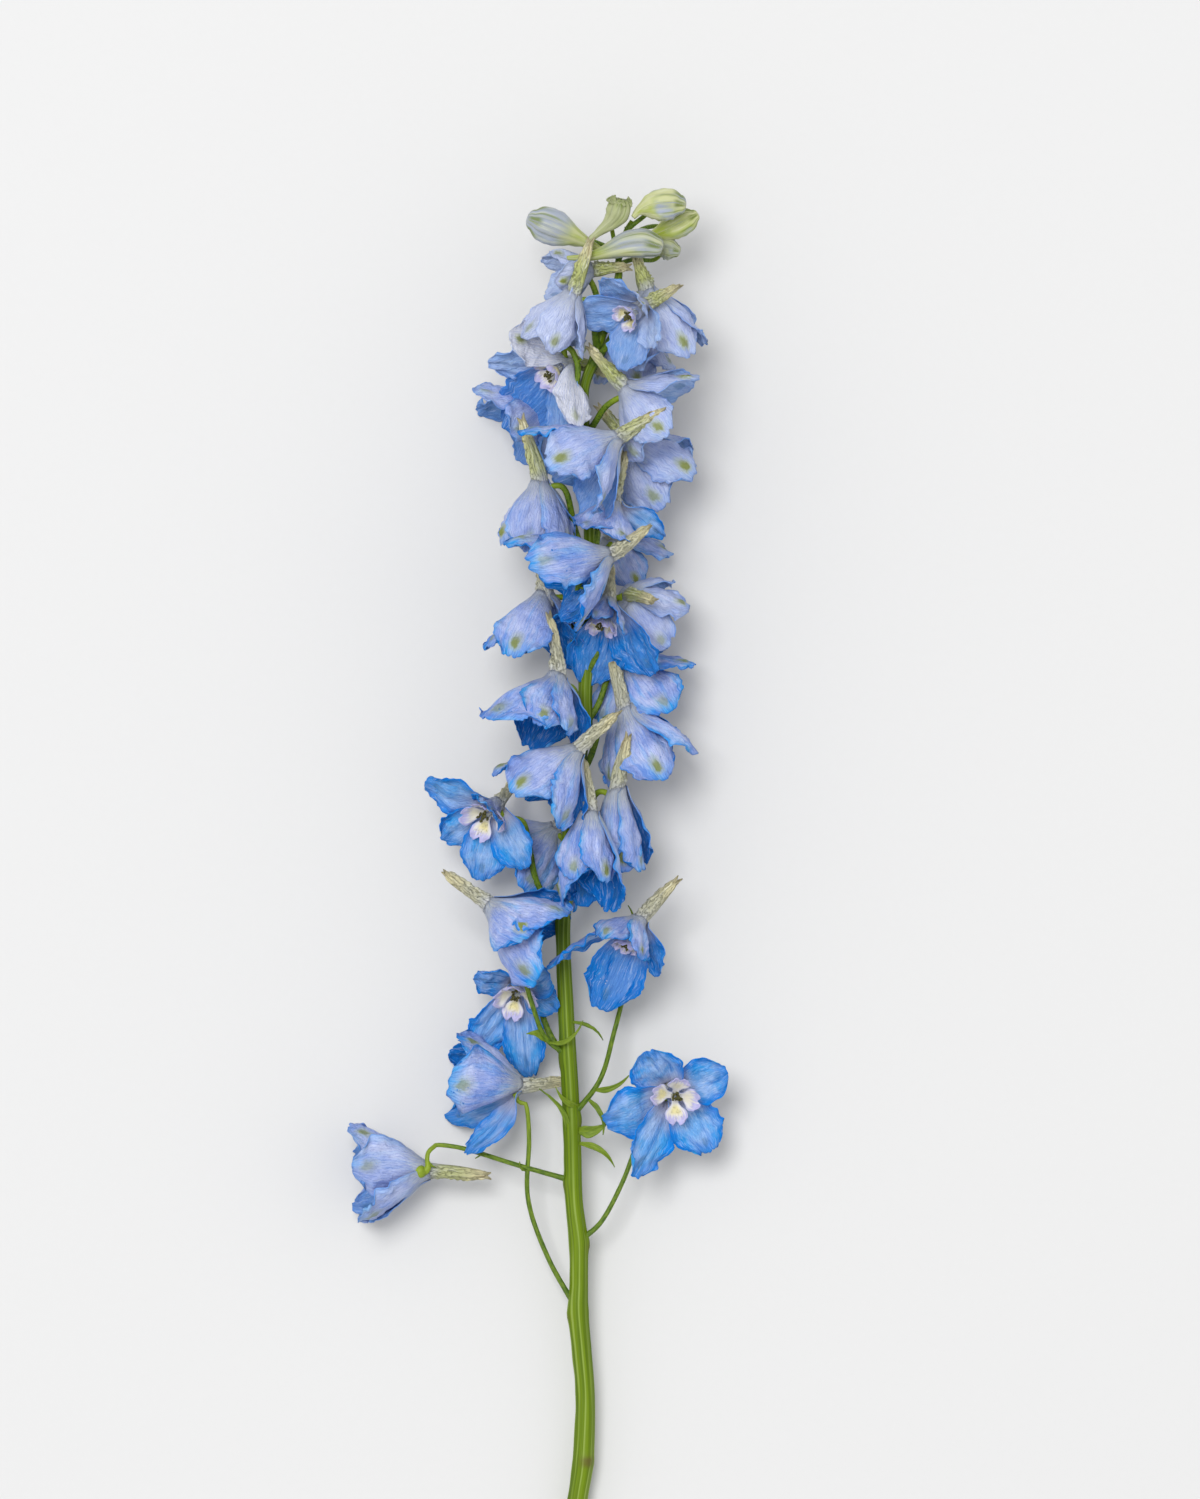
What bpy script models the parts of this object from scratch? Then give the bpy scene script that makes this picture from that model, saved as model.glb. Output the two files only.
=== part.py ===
"""A cut delphinium flower spike that lies on a table: a bent stem with pedicels and bracts,
blue florets of five sepals and a spur, the small pale petals in their throats, and young buds.

Sizes in the tables are millimetres. The spike lies along +Y with its buds at the far end.
Depths are measured up from the stem's centreline, which climbs gently from the cut end.
"""

import itertools
import math
import random

import bmesh
import bpy
import numpy as np
from mathutils.bvhtree import BVHTree

MM = 0.001
ORIGIN_SHIFT = (-0.168, 0.198, 0.0)  # puts the middle of the spike's box on the origin

# The stem's centreline
CUT_END_Y = -237.3
CUT_END_HEIGHT = 3.4
STEM_SLOPE = 0.077
STEM_SIDES = 9
STEM_LINE = (  # x, y, radius
    (8.6, -237.3, 3.4),
    (11.0, -214.5, 3.35),
    (13.7, -194.4, 3.3),
    (15.5, -181.5, 3.45),
    (16.2, -161.7, 3.15),
    (15.0, -145.2, 3.2),
    (13.9, -132.7, 3.3),
    (14.1, -122.1, 3.0),
    (13.9, -108.9, 3.1),
    (12.5, -95.7, 2.85),
    (12.0, -79.2, 2.9),
    (11.4, -62.7, 2.85),
    (10.5, -46.2, 2.75),
    (9.7, -29.7, 2.6),
    (8.9, -8.3, 2.4),
    (9.9, 8.6, 2.35),
    (10.9, 24.1, 2.5),
    (13.9, 46.2, 2.2),
    (16.3, 62.7, 2.15),
    (16.2, 72.6, 2.3),
    (17.7, 102.3, 2.05),
    (17.5, 135.3, 2.0),
    (15.8, 158.4, 2.0),
    (15.5, 168.3, 1.9),
    (16.5, 174.9, 1.65),
    (19.1, 181.5, 1.65),
    (23.1, 194.7, 1.5),
    (27.1, 207.9, 1.3),
    (27.2, 213.8, 1.05),
    (29.4, 222.8, 0.9),
    (31.7, 227.0, 0.75),
)

# The neck and the spur of a floret
USUAL_SEPAL = 24  # the sepal length at which a floret's other parts have their plain size
NECK_RADIUS = 3.4
NECK_SEAT = 1.5  # the flat seat in the throat, in front of the neck point
NECK_BEND = 4.0  # where the neck turns into the spur, behind the neck point
SPUR_TIP_RADIUS = 1.1
SPUR_TAPER = 1.2
SPUR_SIDES = 5
SPUR_RINGS = 5

# The sepals
SEPAL_COUNT = 5
SEPAL_ROOT_RADIUS = 2.2
SEPAL_ROOT_HALF_WIDTH = 1.3
SEPAL_ASPECT = 0.37  # greatest half width over length
SEPAL_LAP = 1.14  # half width against the room between neighbours
SEPAL_SHINGLE = 13  # degrees that each sepal turns so that it laps over the next
SEPAL_ROWS = (0.0, 0.28, 0.58, 0.84, 0.97)
SEPAL_COLUMNS = (-1.0, 0.0, 1.0)
SEPAL_STEPS = 24  # short steps along its middle line
SEPAL_OUTLINE = (1.45, 0.75)  # powers that put its widest place past the middle and blunt its tip
SEPAL_CUP = (0.5, 0.05)  # how far its rims curl in, at its root and at its tip
BLADE_HALF_THICKNESS = 0.42
CLEARANCE = 0.4  # room kept round a sepal while it is placed
TABLE_GAP = 0.7

# The small petals in the throat
BEE_PETALS = (  # angle round the face, lean for each degree that the sepals open, length
    (47, 0.35, 10.0),
    (132, 0.37, 9.7),
    (-39, 0.55, 9.0),
    (217, 0.53, 9.2),
)
BEE_HALF_WIDTH = 2.4
BEE_HALF_THICKNESS = 0.4
BEE_SIDES = 5
STAMENS = (5.0, 1.7, 1.2)  # length of their bundle, its radius at the seat and at the end
SEAT_GAP = 0.32

# The stalks and bracts
PEDICEL_RADIUS = 0.85
BUD_PEDICEL_RADIUS = 0.75
PEDICEL_SIDES = 4
BRACT_HALF_THICKNESS = 0.36
BRACT_ARCH = 0.5
BRACT_ROWS = ((0.0, 0.5), (0.4, 1.0), (1.0, 0.2))  # share of its length, share of its half width

# Each floret: neck x, y and depth; facing and spur as angle in plan and tilt up, in degrees;
# spur length, sepal length, how wide the sepals open, and where its pedicel leaves the stem.
FLORETS = {
    "floret_01": dict(neck=(16.0, 210.5, 3.6), face=(190, 8), spur=(5, 2, 14), sepal=18, open=30,
                     root=196),
    "floret_02": dict(neck=(11.5, 200.5, 13), face=(-116, -14), spur=(72, 3, 20), sepal=19, open=22,
                     root=186),
    "floret_03": dict(neck=(33.5, 197.5, 15), face=(-147, 46), spur=(30, -10, 15), sepal=20, open=62,
                     root=180, bee=True),
    "floret_04": dict(neck=(37.0, 202.5, 2), face=(-73, -10), spur=(108, -8, 14), sepal=26, open=24,
                     root=190),
    "floret_05": dict(neck=(9.0, 180.0, 1), face=(-141, 28), spur=(-10, -34, 18), sepal=25, open=58,
                     root=158, bee=True, belly=(90, 30), route=((12.9, 168.0, 3.5), (13.9, 178.0, 5),
                     (12.0, 184.0, 4.5))),
    "floret_06": dict(neck=(1.0, 165.0, -19.5), face=(-140, 5), spur=(30, -30, 17), sepal=22, open=52,
                     root=146, bee=True, rests=True),
    "floret_07": dict(neck=(31.0, 170.5, 9), face=(-38, -4), spur=(132, 4, 19.5), sepal=23, open=46,
                     root=156, bee=True),
    "floret_08": dict(neck=(24.5, 154.0, 20), face=(-141, 5), spur=(31, 3, 20), sepal=27, open=38,
                     root=130, bee=True),
    "floret_09": dict(neck=(30.5, 155.0, -6), face=(-48, -22), spur=(132, 0, 18), sepal=25, open=34,
                     root=136, bee=True),
    "floret_10": dict(neck=(2.0, 138.5, 8), face=(-95, -12), spur=(106, 0, 23.5), sepal=23, open=24,
                     root=116, bee=True),
    "floret_11": dict(neck=(25.0, 132.5, 13), face=(-100, 12), spur=(77, -8, 18), sepal=20, open=42,
                     root=112),
    "floret_12": dict(neck=(22.0, 115.5, 22), face=(-158, 10), spur=(35, 0, 18), sepal=28, open=36,
                     root=92, bee=True, belly=(-90, -70), route=((13.8, 100.0, 8), (15.0, 109.0, 15))),
    "floret_13": dict(neck=(26.0, 122.0, -14), face=(-60, -38), spur=(120, 14, 16), sepal=19, open=45,
                     root=104, rests=True),
    "floret_14": dict(neck=(3.5, 102.5, 4), face=(-102, 0), spur=(104, -15, 16), sepal=25, open=30,
                     root=80, bee=True),
    "floret_15": dict(neck=(23.5, 99.5, 10), face=(-107, 30), spur=(88, -14, 16), sepal=25, open=58,
                     root=78, bee=True),
    "floret_16": dict(neck=(31.0, 103.5, 3), face=(-45, -40), spur=(-12, 65, 17), sepal=20, open=34,
                     root=90),
    "floret_17": dict(neck=(30.0, 82.0, -7), face=(-60, -24), spur=(110, -16, 18), sepal=22, open=55,
                     root=62, bee=True, rests=True),
    "floret_18": dict(neck=(7.5, 74.5, 14), face=(-115, 14), spur=(98, 0, 22), sepal=28, open=38,
                     root=52, bee=True),
    "floret_19": dict(neck=(30.0, 64.5, 3), face=(-65, -15), spur=(104, 0, 21), sepal=25, open=34,
                     root=44, bee=True),
    "floret_20": dict(neck=(11.5, 51.0, 20), face=(-130, 0), spur=(42, 5, 20), sepal=26, open=28,
                     root=34, bee=True, belly=(-90, -80), route=((8.8, 41.0, 6), (8.6, 47.0, 12))),
    "floret_21": dict(neck=(-14.0, 33.5, 5), face=(-135, 50), spur=(50, -60, 20), sepal=21, open=80,
                     root=-4, bee=True, route=((0.7, 8.3, 4), (-2.0, 19.8, 6), (-4.2, 29.0, 5))),
    "floret_22": dict(neck=(26.5, 37.5, 10), face=(-85, -10), spur=(79, 4, 22), sepal=30, open=8,
                     root=12),
    "floret_23": dict(neck=(18.0, 29.5, 18.5), face=(-93, 6), spur=(97, -12, 20.5), sepal=31, open=10,
                     root=4, bee=True),
    "floret_24": dict(neck=(6.0, 25.0, -11), face=(-127, -18), spur=(60, -4, 17), sepal=24, open=50,
                     root=2, rests=True),
    "floret_25": dict(neck=(-13.0, 0.5, 14), face=(-35, 8), spur=(145, 5, 20), sepal=27, open=38,
                     root=-48, bee=True, belly=(-110, -60), route=((3.0, -42.0, 3.5), (-1.0, -32.0, 8),
                     (-4.6, -20.0, 7.5), (-8.6, -9.0, 4))),
    "floret_26": dict(neck=(32.5, -5.5, 10), face=(-117, 24), spur=(48, 0, 20), sepal=28, open=42,
                     root=-68.6, bee=True, belly=(-40, -50),
                     route=((21.1, -56.1, 2), (25.5, -39.6, 1), (29.4, -16.5, 3))),
    "floret_27": dict(neck=(-5.5, -25.5, -3), face=(-110, 55), spur=(95, -40, 19), sepal=21, open=76,
                     root=-49, bee=True),
    "floret_28": dict(neck=(-7.5, -58.0, -1), face=(174, 5), spur=(5, -20, 18), sepal=26, open=40,
                     root=-132.6, bee=True, belly=(-80, 5), route=((4.0, -115.0, 0), (-2.6, -95.7, 0),
                     (-2.3, -75.9, 1), (-3.2, -64.6, 1))),
    "floret_29": dict(neck=(-38.5, -86.0, 1), face=(184, 0), spur=(-4, 0, 22), sepal=27, open=30,
                     root=-89.5, bee=True, belly=(88, 0), route=((-7.0, -84.0, 1), (-23.4, -78.9, 2),
                     (-32.0, -77.6, 2))),
    "floret_30": dict(neck=(43.0, -63.5, 3), face=(-60, 75), spur=(135, -42, 19), sepal=20.5, open=86,
                     root=-109.5, bee=True, long={3: 1.28}, belly=(-142, -10),
                     route=((21.5, -103.0, 1), (28.5, -90.0, 0), (34.0, -76.0, -3))),
    "floret_31": dict(neck=(30.4, 191.4, -14), face=(-80, -26), spur=(100, 14, 14), sepal=20, open=34,
                     root=176),
}

BUD_SIDES = 8

# Each bud: points of its middle line from spur tip to nose, each with its radius, and its root on the stem
BUDS = {
    "bud_1": dict(line=((21.0, 217.6, 3.0, 0.9), (16.0, 219.6, 2.6, 1.7), (11.5, 221.4, 2.2, 3.1),
                  (6.0, 223.4, 2.0, 4.9), (1.0, 225.2, 2.0, 4.7), (-2.0, 226.3, 2.0, 2.6)),
                  root=215.5),
    "bud_2": dict(line=((16.6, 219.4, 8.0, 0.9), (20.8, 223.2, 7.6, 1.4), (24.6, 226.2, 7.0, 2.9),
                  (27.2, 229.8, 6.6, 4.2), (28.6, 233.4, 6.4, 4.2), (29.2, 236.0, 6.4, 3.0)),
                  root=216),
    "bud_3": dict(line=((32.6, 228.4, 7.5, 0.8), (35.0, 231.2, 7.0, 1.5), (38.6, 232.6, 6.6, 3.8),
                  (43.4, 233.0, 6.4, 4.6), (47.6, 233.0, 6.2, 4.1), (50.2, 233.0, 6.2, 2.4)),
                  root=224),
    "bud_4": dict(line=((36.2, 222.4, -4.0, 0.8), (38.8, 223.6, -4.0, 1.6), (43.0, 225.4, -4.0, 3.4),
                  (47.0, 227.4, -4.0, 3.8), (50.6, 229.4, -4.0, 3.4), (52.4, 230.4, -4.0, 2.0)),
                  root=220),
    "bud_5": dict(line=((10.2, 214.6, 8.6, 0.8), (16.0, 214.8, 8.8, 1.3), (23.0, 216.6, 9.2, 2.3),
                  (29.6, 218.8, 9.4, 3.9), (35.2, 219.4, 9.2, 4.5), (39.8, 218.4, 9.2, 3.2)),
                  root=214.5),
    "bud_6": dict(line=((36.4, 216.8, -4.0, 0.7), (38.8, 217.6, -4.2, 1.5), (41.8, 218.2, -4.6, 3.2),
                  (44.2, 217.8, -4.8, 3.4), (46.4, 217.2, -4.8, 2.0)), root=212),
}

# Bracts on the lower stem and pedicels: root x, y and depth, tip x, y and depth, half width
BRACTS = (
    (18.8, -59.2, 1.6, 30.4, -54.1, 4.0, 1.5),
    (14.4, -64.6, 1.0, 6.8, -57.8, 5.0, 1.4),
    (16.6, -62.0, 1.3, 21.5, -74.5, 4.0, 1.3),
    (13.6, -72.5, 0.8, 23.5, -70.5, 2.5, 3.0),
    (13.6, -77.0, 0.8, 25.5, -85.5, 3.0, 1.6),
    (10.2, -75.5, 0.8, 1.5, -58.8, 1.5, 1.3),
    (3.2, -43.0, 3.2, -3.0, -40.5, 4.5, 2.2),
    (4.0, -43.6, 3.0, 15.8, -37.0, 6.5, 1.1),
    (11.4, -37.0, 1.0, 21.8, -43.5, 2.0, 0.9),
    (31.4, -10.6, 4.6, 30.2, 1.6, 5.4, 0.8),
)

MATERIALS = {  # colour, roughness
    "stem_green": ((0.23, 0.36, 0.05), 0.5),
    "sepal_blue": ((0.25, 0.42, 0.86), 0.6),
    "bee_white": ((0.82, 0.80, 0.86), 0.6),
    "bud_pale": ((0.52, 0.60, 0.40), 0.55),
}


def axis_height(y):
    """Height of the stem's centreline over the table."""
    return CUT_END_HEIGHT + STEM_SLOPE * (y - CUT_END_Y)


def place(x, y, depth):
    """A point in space from its place in plan and its depth over the centreline."""
    return np.array((x, y, axis_height(y) + depth))


def heading(plan_angle, tilt):
    """Unit vector from an angle in plan and a tilt up, in degrees."""
    plan_angle, tilt = math.radians(plan_angle), math.radians(tilt)
    level = math.cos(tilt)
    return np.array((level * math.cos(plan_angle), level * math.sin(plan_angle), math.sin(tilt)))


def unit(vector):
    return vector / np.linalg.norm(vector)


def across(vector, axis):
    """The part of a vector square to an axis, as a unit vector."""
    return unit(vector - axis * np.dot(vector, axis))


def bezier(points, count):
    """Points along a Bezier curve of any degree."""
    degree = len(points) - 1
    out = []
    for t in np.linspace(0, 1, count):
        weights = [math.comb(degree, i) * t**i * (1 - t) ** (degree - i) for i in range(degree + 1)]
        out.append(sum(w * p for w, p in zip(weights, points)))
    return np.array(out)


def smooth_route(points, count):
    """Evenly spaced points on a smooth curve through the given ones."""
    points = np.array(points, float)
    padded = np.vstack((2 * points[0] - points[1], points, 2 * points[-1] - points[-2]))
    fine = []
    for a, b, c, d in zip(padded, padded[1:], padded[2:], padded[3:]):
        for t in np.linspace(0, 1, 12, endpoint=False):
            fine.append(0.5 * (2 * b + (c - a) * t + (2 * a - 5 * b + 4 * c - d) * t**2
                               + (3 * b - a - 3 * c + d) * t**3))
    fine = np.array(fine + [points[-1]])
    travelled = np.concatenate(([0], np.cumsum(np.linalg.norm(np.diff(fine, axis=0), axis=1))))
    wanted = np.linspace(0, travelled[-1], count)
    return np.stack([np.interp(wanted, travelled, fine[:, k]) for k in range(points.shape[1])], axis=1)


def stem_point(y):
    """x, y and height of the stem's centreline at y, with its radius."""
    line = np.array(STEM_LINE)
    x = np.interp(y, line[:, 1], line[:, 0])
    return np.array((x, y, axis_height(y))), np.interp(y, line[:, 1], line[:, 2])


def tube(path, radii, sides, first_side=None, first_heading=None):
    """Points and faces of a closed round tube; first_side turns a flat of the tube that way."""
    path = np.array(path, float)
    tangents = np.gradient(path, axis=0)
    if first_heading is not None:
        tangents[0] = first_heading
    side = across(first_side if first_side is not None else np.array((0.0, 0.0, 1.0)), unit(tangents[0]))
    points, faces = [], []
    for centre, tangent, radius in zip(path, tangents, radii):
        tangent = unit(tangent)
        side = across(side, tangent)
        other = np.cross(tangent, side)
        for k in range(sides):
            angle = 2 * math.pi * (k + 0.5) / sides
            points.append(centre + radius * (math.cos(angle) * side + math.sin(angle) * other))
    for ring in range(len(path) - 1):
        low, high = ring * sides, (ring + 1) * sides
        for k in range(sides):
            n = (k + 1) % sides
            faces.append((low + k, low + n, high + n))
            faces.append((low + k, high + n, high + k))
    last = (len(path) - 1) * sides
    for k in range(1, sides - 1):
        faces.append((0, k + 1, k))
        faces.append((last, last + k, last + k + 1))
    return np.array(points), faces


def lens(middle, half_thickness):
    """A closed blade from a grid of points on its middle surface, thin at its rim, alike on both faces."""
    rows, columns = middle.shape[:2]
    along, over = np.gradient(middle, axis=0), np.gradient(middle, axis=1)
    normals = np.cross(along, over)
    normals /= np.linalg.norm(normals, axis=2, keepdims=True)
    inner = [(i, j) for i in range(1, rows - 1) for j in range(1, columns - 1)]
    points = [p for row in middle for p in row]
    below = {}
    for i, j in inner:
        lift = normals[i, j] * half_thickness
        points[i * columns + j] = middle[i, j] + lift
        below[i * columns + j] = len(points)
        points.append(middle[i, j] - lift)
    faces = []
    for i, j in itertools.product(range(rows - 1), range(columns - 1)):
        a, b = i * columns + j, (i + 1) * columns + j
        d, c = a + 1, b + 1
        halves = ((a, b, c), (a, c, d)) if 2 * j + 1 < columns else ((a, b, d), (b, c, d))
        for half in halves:
            faces.append(half)
            faces.append(tuple(below.get(n, n) for n in reversed(half)))
    return np.array(points), faces, below


def lay_flat(points, below):
    """Presses a blade that reaches under the table flat onto it, with its thickness kept."""
    points = points.copy()
    pairs = set(below) | set(below.values())
    for upper, lower in below.items():
        rise = max(0.0, -min(points[upper][2], points[lower][2]))
        points[[upper, lower], 2] += rise
    for n in range(len(points)):
        if n not in pairs:
            points[n, 2] = max(points[n, 2], 0.0)
    return points


def floret_frame(row):
    """Neck point, facing, spur direction, and the side that the pedicel comes to."""
    neck = place(*row["neck"])
    face = heading(*row["face"])
    spur = heading(*row["spur"][:2])
    root, _ = stem_point(row["root"])
    if "belly" in row:
        belly = across(heading(*row["belly"]), face)
    else:
        belly = across(unit(root - neck) - 0.6 * spur, face)
    return neck, face, spur, belly


def sepal_grid(frame, angle, length, spread, bend, twist, rows, columns):
    """Points on a sepal's middle surface: it leaves the neck steeply and leans out to its tip."""
    neck, face, _, belly = frame
    dorsal = -belly
    out = math.cos(angle) * np.cross(dorsal, face) + math.sin(angle) * dorsal
    start = math.radians(min(12 + 0.5 * spread, 42))
    end = math.radians(spread + bend)
    spine, slants = [neck - face + SEPAL_ROOT_RADIUS * out], [start]
    for n in range(SEPAL_STEPS):
        t = (n + 0.5) / SEPAL_STEPS
        slant = start + (end - start) * (3 * t**2 - 2 * t**3) ** 0.8
        spine.append(spine[-1] + (length / SEPAL_STEPS) * (math.cos(slant) * face + math.sin(slant) * out))
        slants.append(slant)
    spine = np.array(spine)
    shares = np.linspace(0, 1, SEPAL_STEPS + 1)
    grid = []
    for t in rows:
        at = np.array([np.interp(t, shares, spine[:, k]) for k in range(3)])
        slant = np.interp(t, shares, slants)
        tangent = math.cos(slant) * face + math.sin(slant) * out
        outward = math.cos(slant) * out - math.sin(slant) * face
        turn = math.radians(SEPAL_SHINGLE) + twist
        side = math.cos(turn) * np.cross(tangent, outward) + math.sin(turn) * outward
        outward = np.cross(side, tangent)
        swell = math.sin(math.pi * t ** SEPAL_OUTLINE[0]) ** SEPAL_OUTLINE[1]
        half = (1 - t) * SEPAL_ROOT_HALF_WIDTH + SEPAL_ASPECT * length * swell
        room = np.dot(at - neck, out) * math.tan(math.pi / SEPAL_COUNT)
        half = min(half, SEPAL_LAP * room)
        cup = SEPAL_CUP[0] * (1 - t) + SEPAL_CUP[1] * t
        grid.append([at + v * half * side - cup * half * v * v * outward for v in columns])
    return np.array(grid)


def sepal_wishes(number, row):
    """Angle round the face, length, spread and twist of each sepal, a little different each time."""
    draw = random.Random(number)
    wishes = []
    for k in range(SEPAL_COUNT):
        angle = math.radians(90 + 72 * k + draw.uniform(-4, 4))
        length = row["sepal"] * draw.uniform(0.94, 1.04) * row.get("long", {}).get(k, 1.0)
        spread = row["open"] + draw.uniform(-7, 7)
        twist = math.radians(draw.uniform(-3, 3))
        wishes.append((angle, length, spread, twist))
    return wishes


def sepal_trials():
    """Ways to bend, swing, twist or shorten a sepal that meets something, the mildest first."""
    bends = (0, -7, 7, -14, 14, -21, 21, -29, 29, -37)
    swings = (0, -8, 8, -16, 16)
    shares = (1.0, 0.9, 0.8, 0.7, 0.6)
    trials = [(bend, swing, share) for bend in bends for swing in swings for share in shares]
    return sorted(trials, key=lambda m: abs(m[0]) / 7 + abs(m[1]) / 8 + (1 - m[2]) * 14)


def search_tree(shape):
    return BVHTree.FromPolygons([tuple(p) for p in shape[0]], [tuple(f) for f in shape[1]])


def clear_sepal(frame, wish, rests, owner, obstacles):
    """The mildest bend of a sepal that leaves it clear of everything already placed."""
    angle, length, spread, twist = wish
    others = [tree for name, tree in obstacles if name != owner]
    for bend, swing, share in sepal_trials():
        grid = sepal_grid(frame, angle + math.radians(swing), length * share, spread, bend, twist,
                          SEPAL_ROWS, SEPAL_COLUMNS)
        fat, faces, below = lens(grid, BLADE_HALF_THICKNESS + CLEARANCE)
        if rests:
            fat = lay_flat(fat, below)
        elif fat[:, 2].min() < TABLE_GAP:
            continue
        tree = search_tree((fat, faces))
        if not any(tree.overlap(other) for other in others):
            break
    else:
        raise ValueError("no clear bend for a sepal of " + owner)
    points, faces, below = lens(grid, BLADE_HALF_THICKNESS)
    if rests:
        points = lay_flat(points, below)
    return (points, faces), (fat, faces)


def neck_width(row):
    """Radius of a floret's neck, a little more for a larger floret."""
    return NECK_RADIUS * (0.8 + 0.2 * row["sepal"] / USUAL_SEPAL)


def spur_shape(row, frame):
    """The neck and spur as one tapering tube, closed by the flat seat inside the sepals."""
    neck, face, spur, belly = frame
    tip = neck + row["spur"][2] * spur
    path = bezier((neck + NECK_SEAT * face, neck - NECK_BEND * face, tip), SPUR_RINGS)
    widening = neck_width(row) - SPUR_TIP_RADIUS
    radii = [SPUR_TIP_RADIUS + widening * (1 - t) ** SPUR_TAPER for t in np.linspace(0, 1, SPUR_RINGS)]
    return tube(path, radii, SPUR_SIDES, belly, -face)


def paddle(start, along, side, length, half):
    """A small blunt petal: five points round its rim and its thickness in the middle."""
    thick = np.cross(side, along) * BEE_HALF_THICKNESS
    rim = [start, start + 0.55 * length * along + half * side, start + length * along + 0.6 * half * side,
           start + length * along - 0.6 * half * side, start + 0.55 * length * along - half * side]
    middle = start + 0.6 * length * along
    faces = []
    for n in range(5):
        faces.append((n, (n + 1) % 5, 5))
        faces.append(((n + 1) % 5, n, 6))
    return np.array(rim + [middle + thick, middle - thick]), faces


def bee_shapes(row, frame):
    """The four small inner petals and the stamens between them, seated in the throat."""
    neck, face, _, belly = frame
    size = row["sepal"] / USUAL_SEPAL * (0.7 + 0.0064 * row["open"])
    seat = neck + (NECK_SEAT + SEAT_GAP) * face
    reach, low, high = (size * share for share in STAMENS)
    shapes = [tube((seat, seat + reach * face), (low, high), BEE_SIDES, belly)]
    dorsal = -belly
    for angle, lean, length in BEE_PETALS:
        turn, slant = math.radians(angle), math.radians(10 + lean * row["open"])
        out = math.cos(turn) * np.cross(dorsal, face) + math.sin(turn) * dorsal
        along = math.cos(slant) * face + math.sin(slant) * out
        side = np.cross(face, out)
        start = seat + (1.0 * face + 0.9 * out) * size
        shapes.append(paddle(start, along, side, length * size, BEE_HALF_WIDTH * size))
    return shapes


def pedicel_shape(root_y, target, tail, route, radius):
    """A thin stalk from inside the stem, along its route, to its hooked end."""
    root, _ = stem_point(root_y)
    target = np.array(target)
    lead = np.array((target[0] - root[0], 0.0, target[2] - root[2]))
    lead = unit(lead) if np.linalg.norm(lead) > 1 else np.array((0.0, 0.0, 1.0))
    if route:
        points = [root] + [place(*p) for p in route] + [target + 2.5 * tail, target]
        path = smooth_route(points, 4 + 2 * len(route))
    else:
        far = np.linalg.norm(target - root)
        climb = unit(0.75 * lead + np.array((0.0, 0.65, 0.0)))
        path = bezier((root, root + 0.5 * far * climb, target + min(9.0, 0.45 * far) * tail, target), 5)
    radii = np.linspace(radius * 1.15, radius, len(path))
    radii[0] *= 1.5
    radii[-1] *= 1.25
    return tube(path, radii, PEDICEL_SIDES, tail)


def floret_pedicel(row, frame):
    """The pedicel that carries a floret, ended a seat's gap from the neck's belly side."""
    neck, face, _, belly = frame
    tail = unit(belly - 0.5 * face)
    target = neck - 1.2 * face + belly * (0.83 * neck_width(row) + SEAT_GAP + 0.35)
    return pedicel_shape(row["root"], target, tail, row.get("route"), PEDICEL_RADIUS)


def bud_shape(row):
    """A closed bud with its spur, one tube that swells to the nose."""
    line = np.array([(*place(x, y, d), r) for x, y, d, r in row["line"]])
    return tube(line[:, :3], line[:, 3], BUD_SIDES)


def bud_pedicel(row):
    """The short stalk under a bud."""
    x, y, depth, radius = row["line"][2]
    body = place(x, y, depth)
    along = unit(place(*row["line"][3][:3]) - place(*row["line"][1][:3]))
    root, _ = stem_point(row["root"])
    belly = across(unit(root - body) + np.array((0.0, 0.0, -0.6)), along)
    target = body - 0.8 * along + belly * (radius + SEAT_GAP + 0.1)
    return pedicel_shape(row["root"], target, unit(belly - 0.3 * along), None, BUD_PEDICEL_RADIUS)


def bract_shape(root_x, root_y, root_depth, tip_x, tip_y, tip_depth, half):
    """A narrow pointed leaf, arched, its root inside the stalk."""
    start = place(root_x, root_y, root_depth)
    reach = place(tip_x, tip_y, tip_depth) - start
    up = np.array((0.0, 0.0, 1.0))
    side = unit(np.cross(reach, up))
    grid = []
    for t, share in BRACT_ROWS:
        at = start + t * reach + BRACT_ARCH * np.linalg.norm(reach) * (t - t * t) * up
        grid.append([at + v * share * half * side + 0.2 * half * share * v * v * up for v in (-1, 0, 1)])
    return lens(np.array(grid), BRACT_HALF_THICKNESS)[:2]


def stem_shape():
    """The stem itself, from its plain cut to its tip."""
    line = np.array([(x, y, axis_height(y), r) for x, y, r in STEM_LINE])
    return tube(line[:, :3], line[:, 3], STEM_SIDES)


def mesh_object(name, shape):
    points, faces = shape
    mesh = bpy.data.meshes.new(name)
    shifted = (np.array(points) + np.array(ORIGIN_SHIFT)) * MM
    mesh.from_pydata([tuple(p) for p in shifted], [], [tuple(f) for f in faces])
    mesh.update()
    work = bmesh.new()
    work.from_mesh(mesh)
    bmesh.ops.recalc_face_normals(work, faces=work.faces)
    work.to_mesh(mesh)
    work.free()
    piece = bpy.data.objects.new(name, mesh)
    bpy.context.scene.collection.objects.link(piece)
    return piece


def keep_largest(mesh):
    """Fills hollows that the union sealed, and drops loose scraps: only the largest skin stays."""
    work = bmesh.new()
    work.from_mesh(mesh)
    waiting, skins = set(work.faces), []
    while waiting:
        skin, edge = set(), [waiting.pop()]
        while edge:
            face = edge.pop()
            skin.add(face)
            for neighbour in {f for e in face.edges for f in e.link_faces} & waiting:
                waiting.discard(neighbour)
                edge.append(neighbour)
        skins.append(skin)
    largest = max(skins, key=len)
    spare = [face for skin in skins if skin is not largest for face in skin]
    bmesh.ops.delete(work, geom=spare, context="FACES")
    work.to_mesh(mesh)
    work.free()


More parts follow.
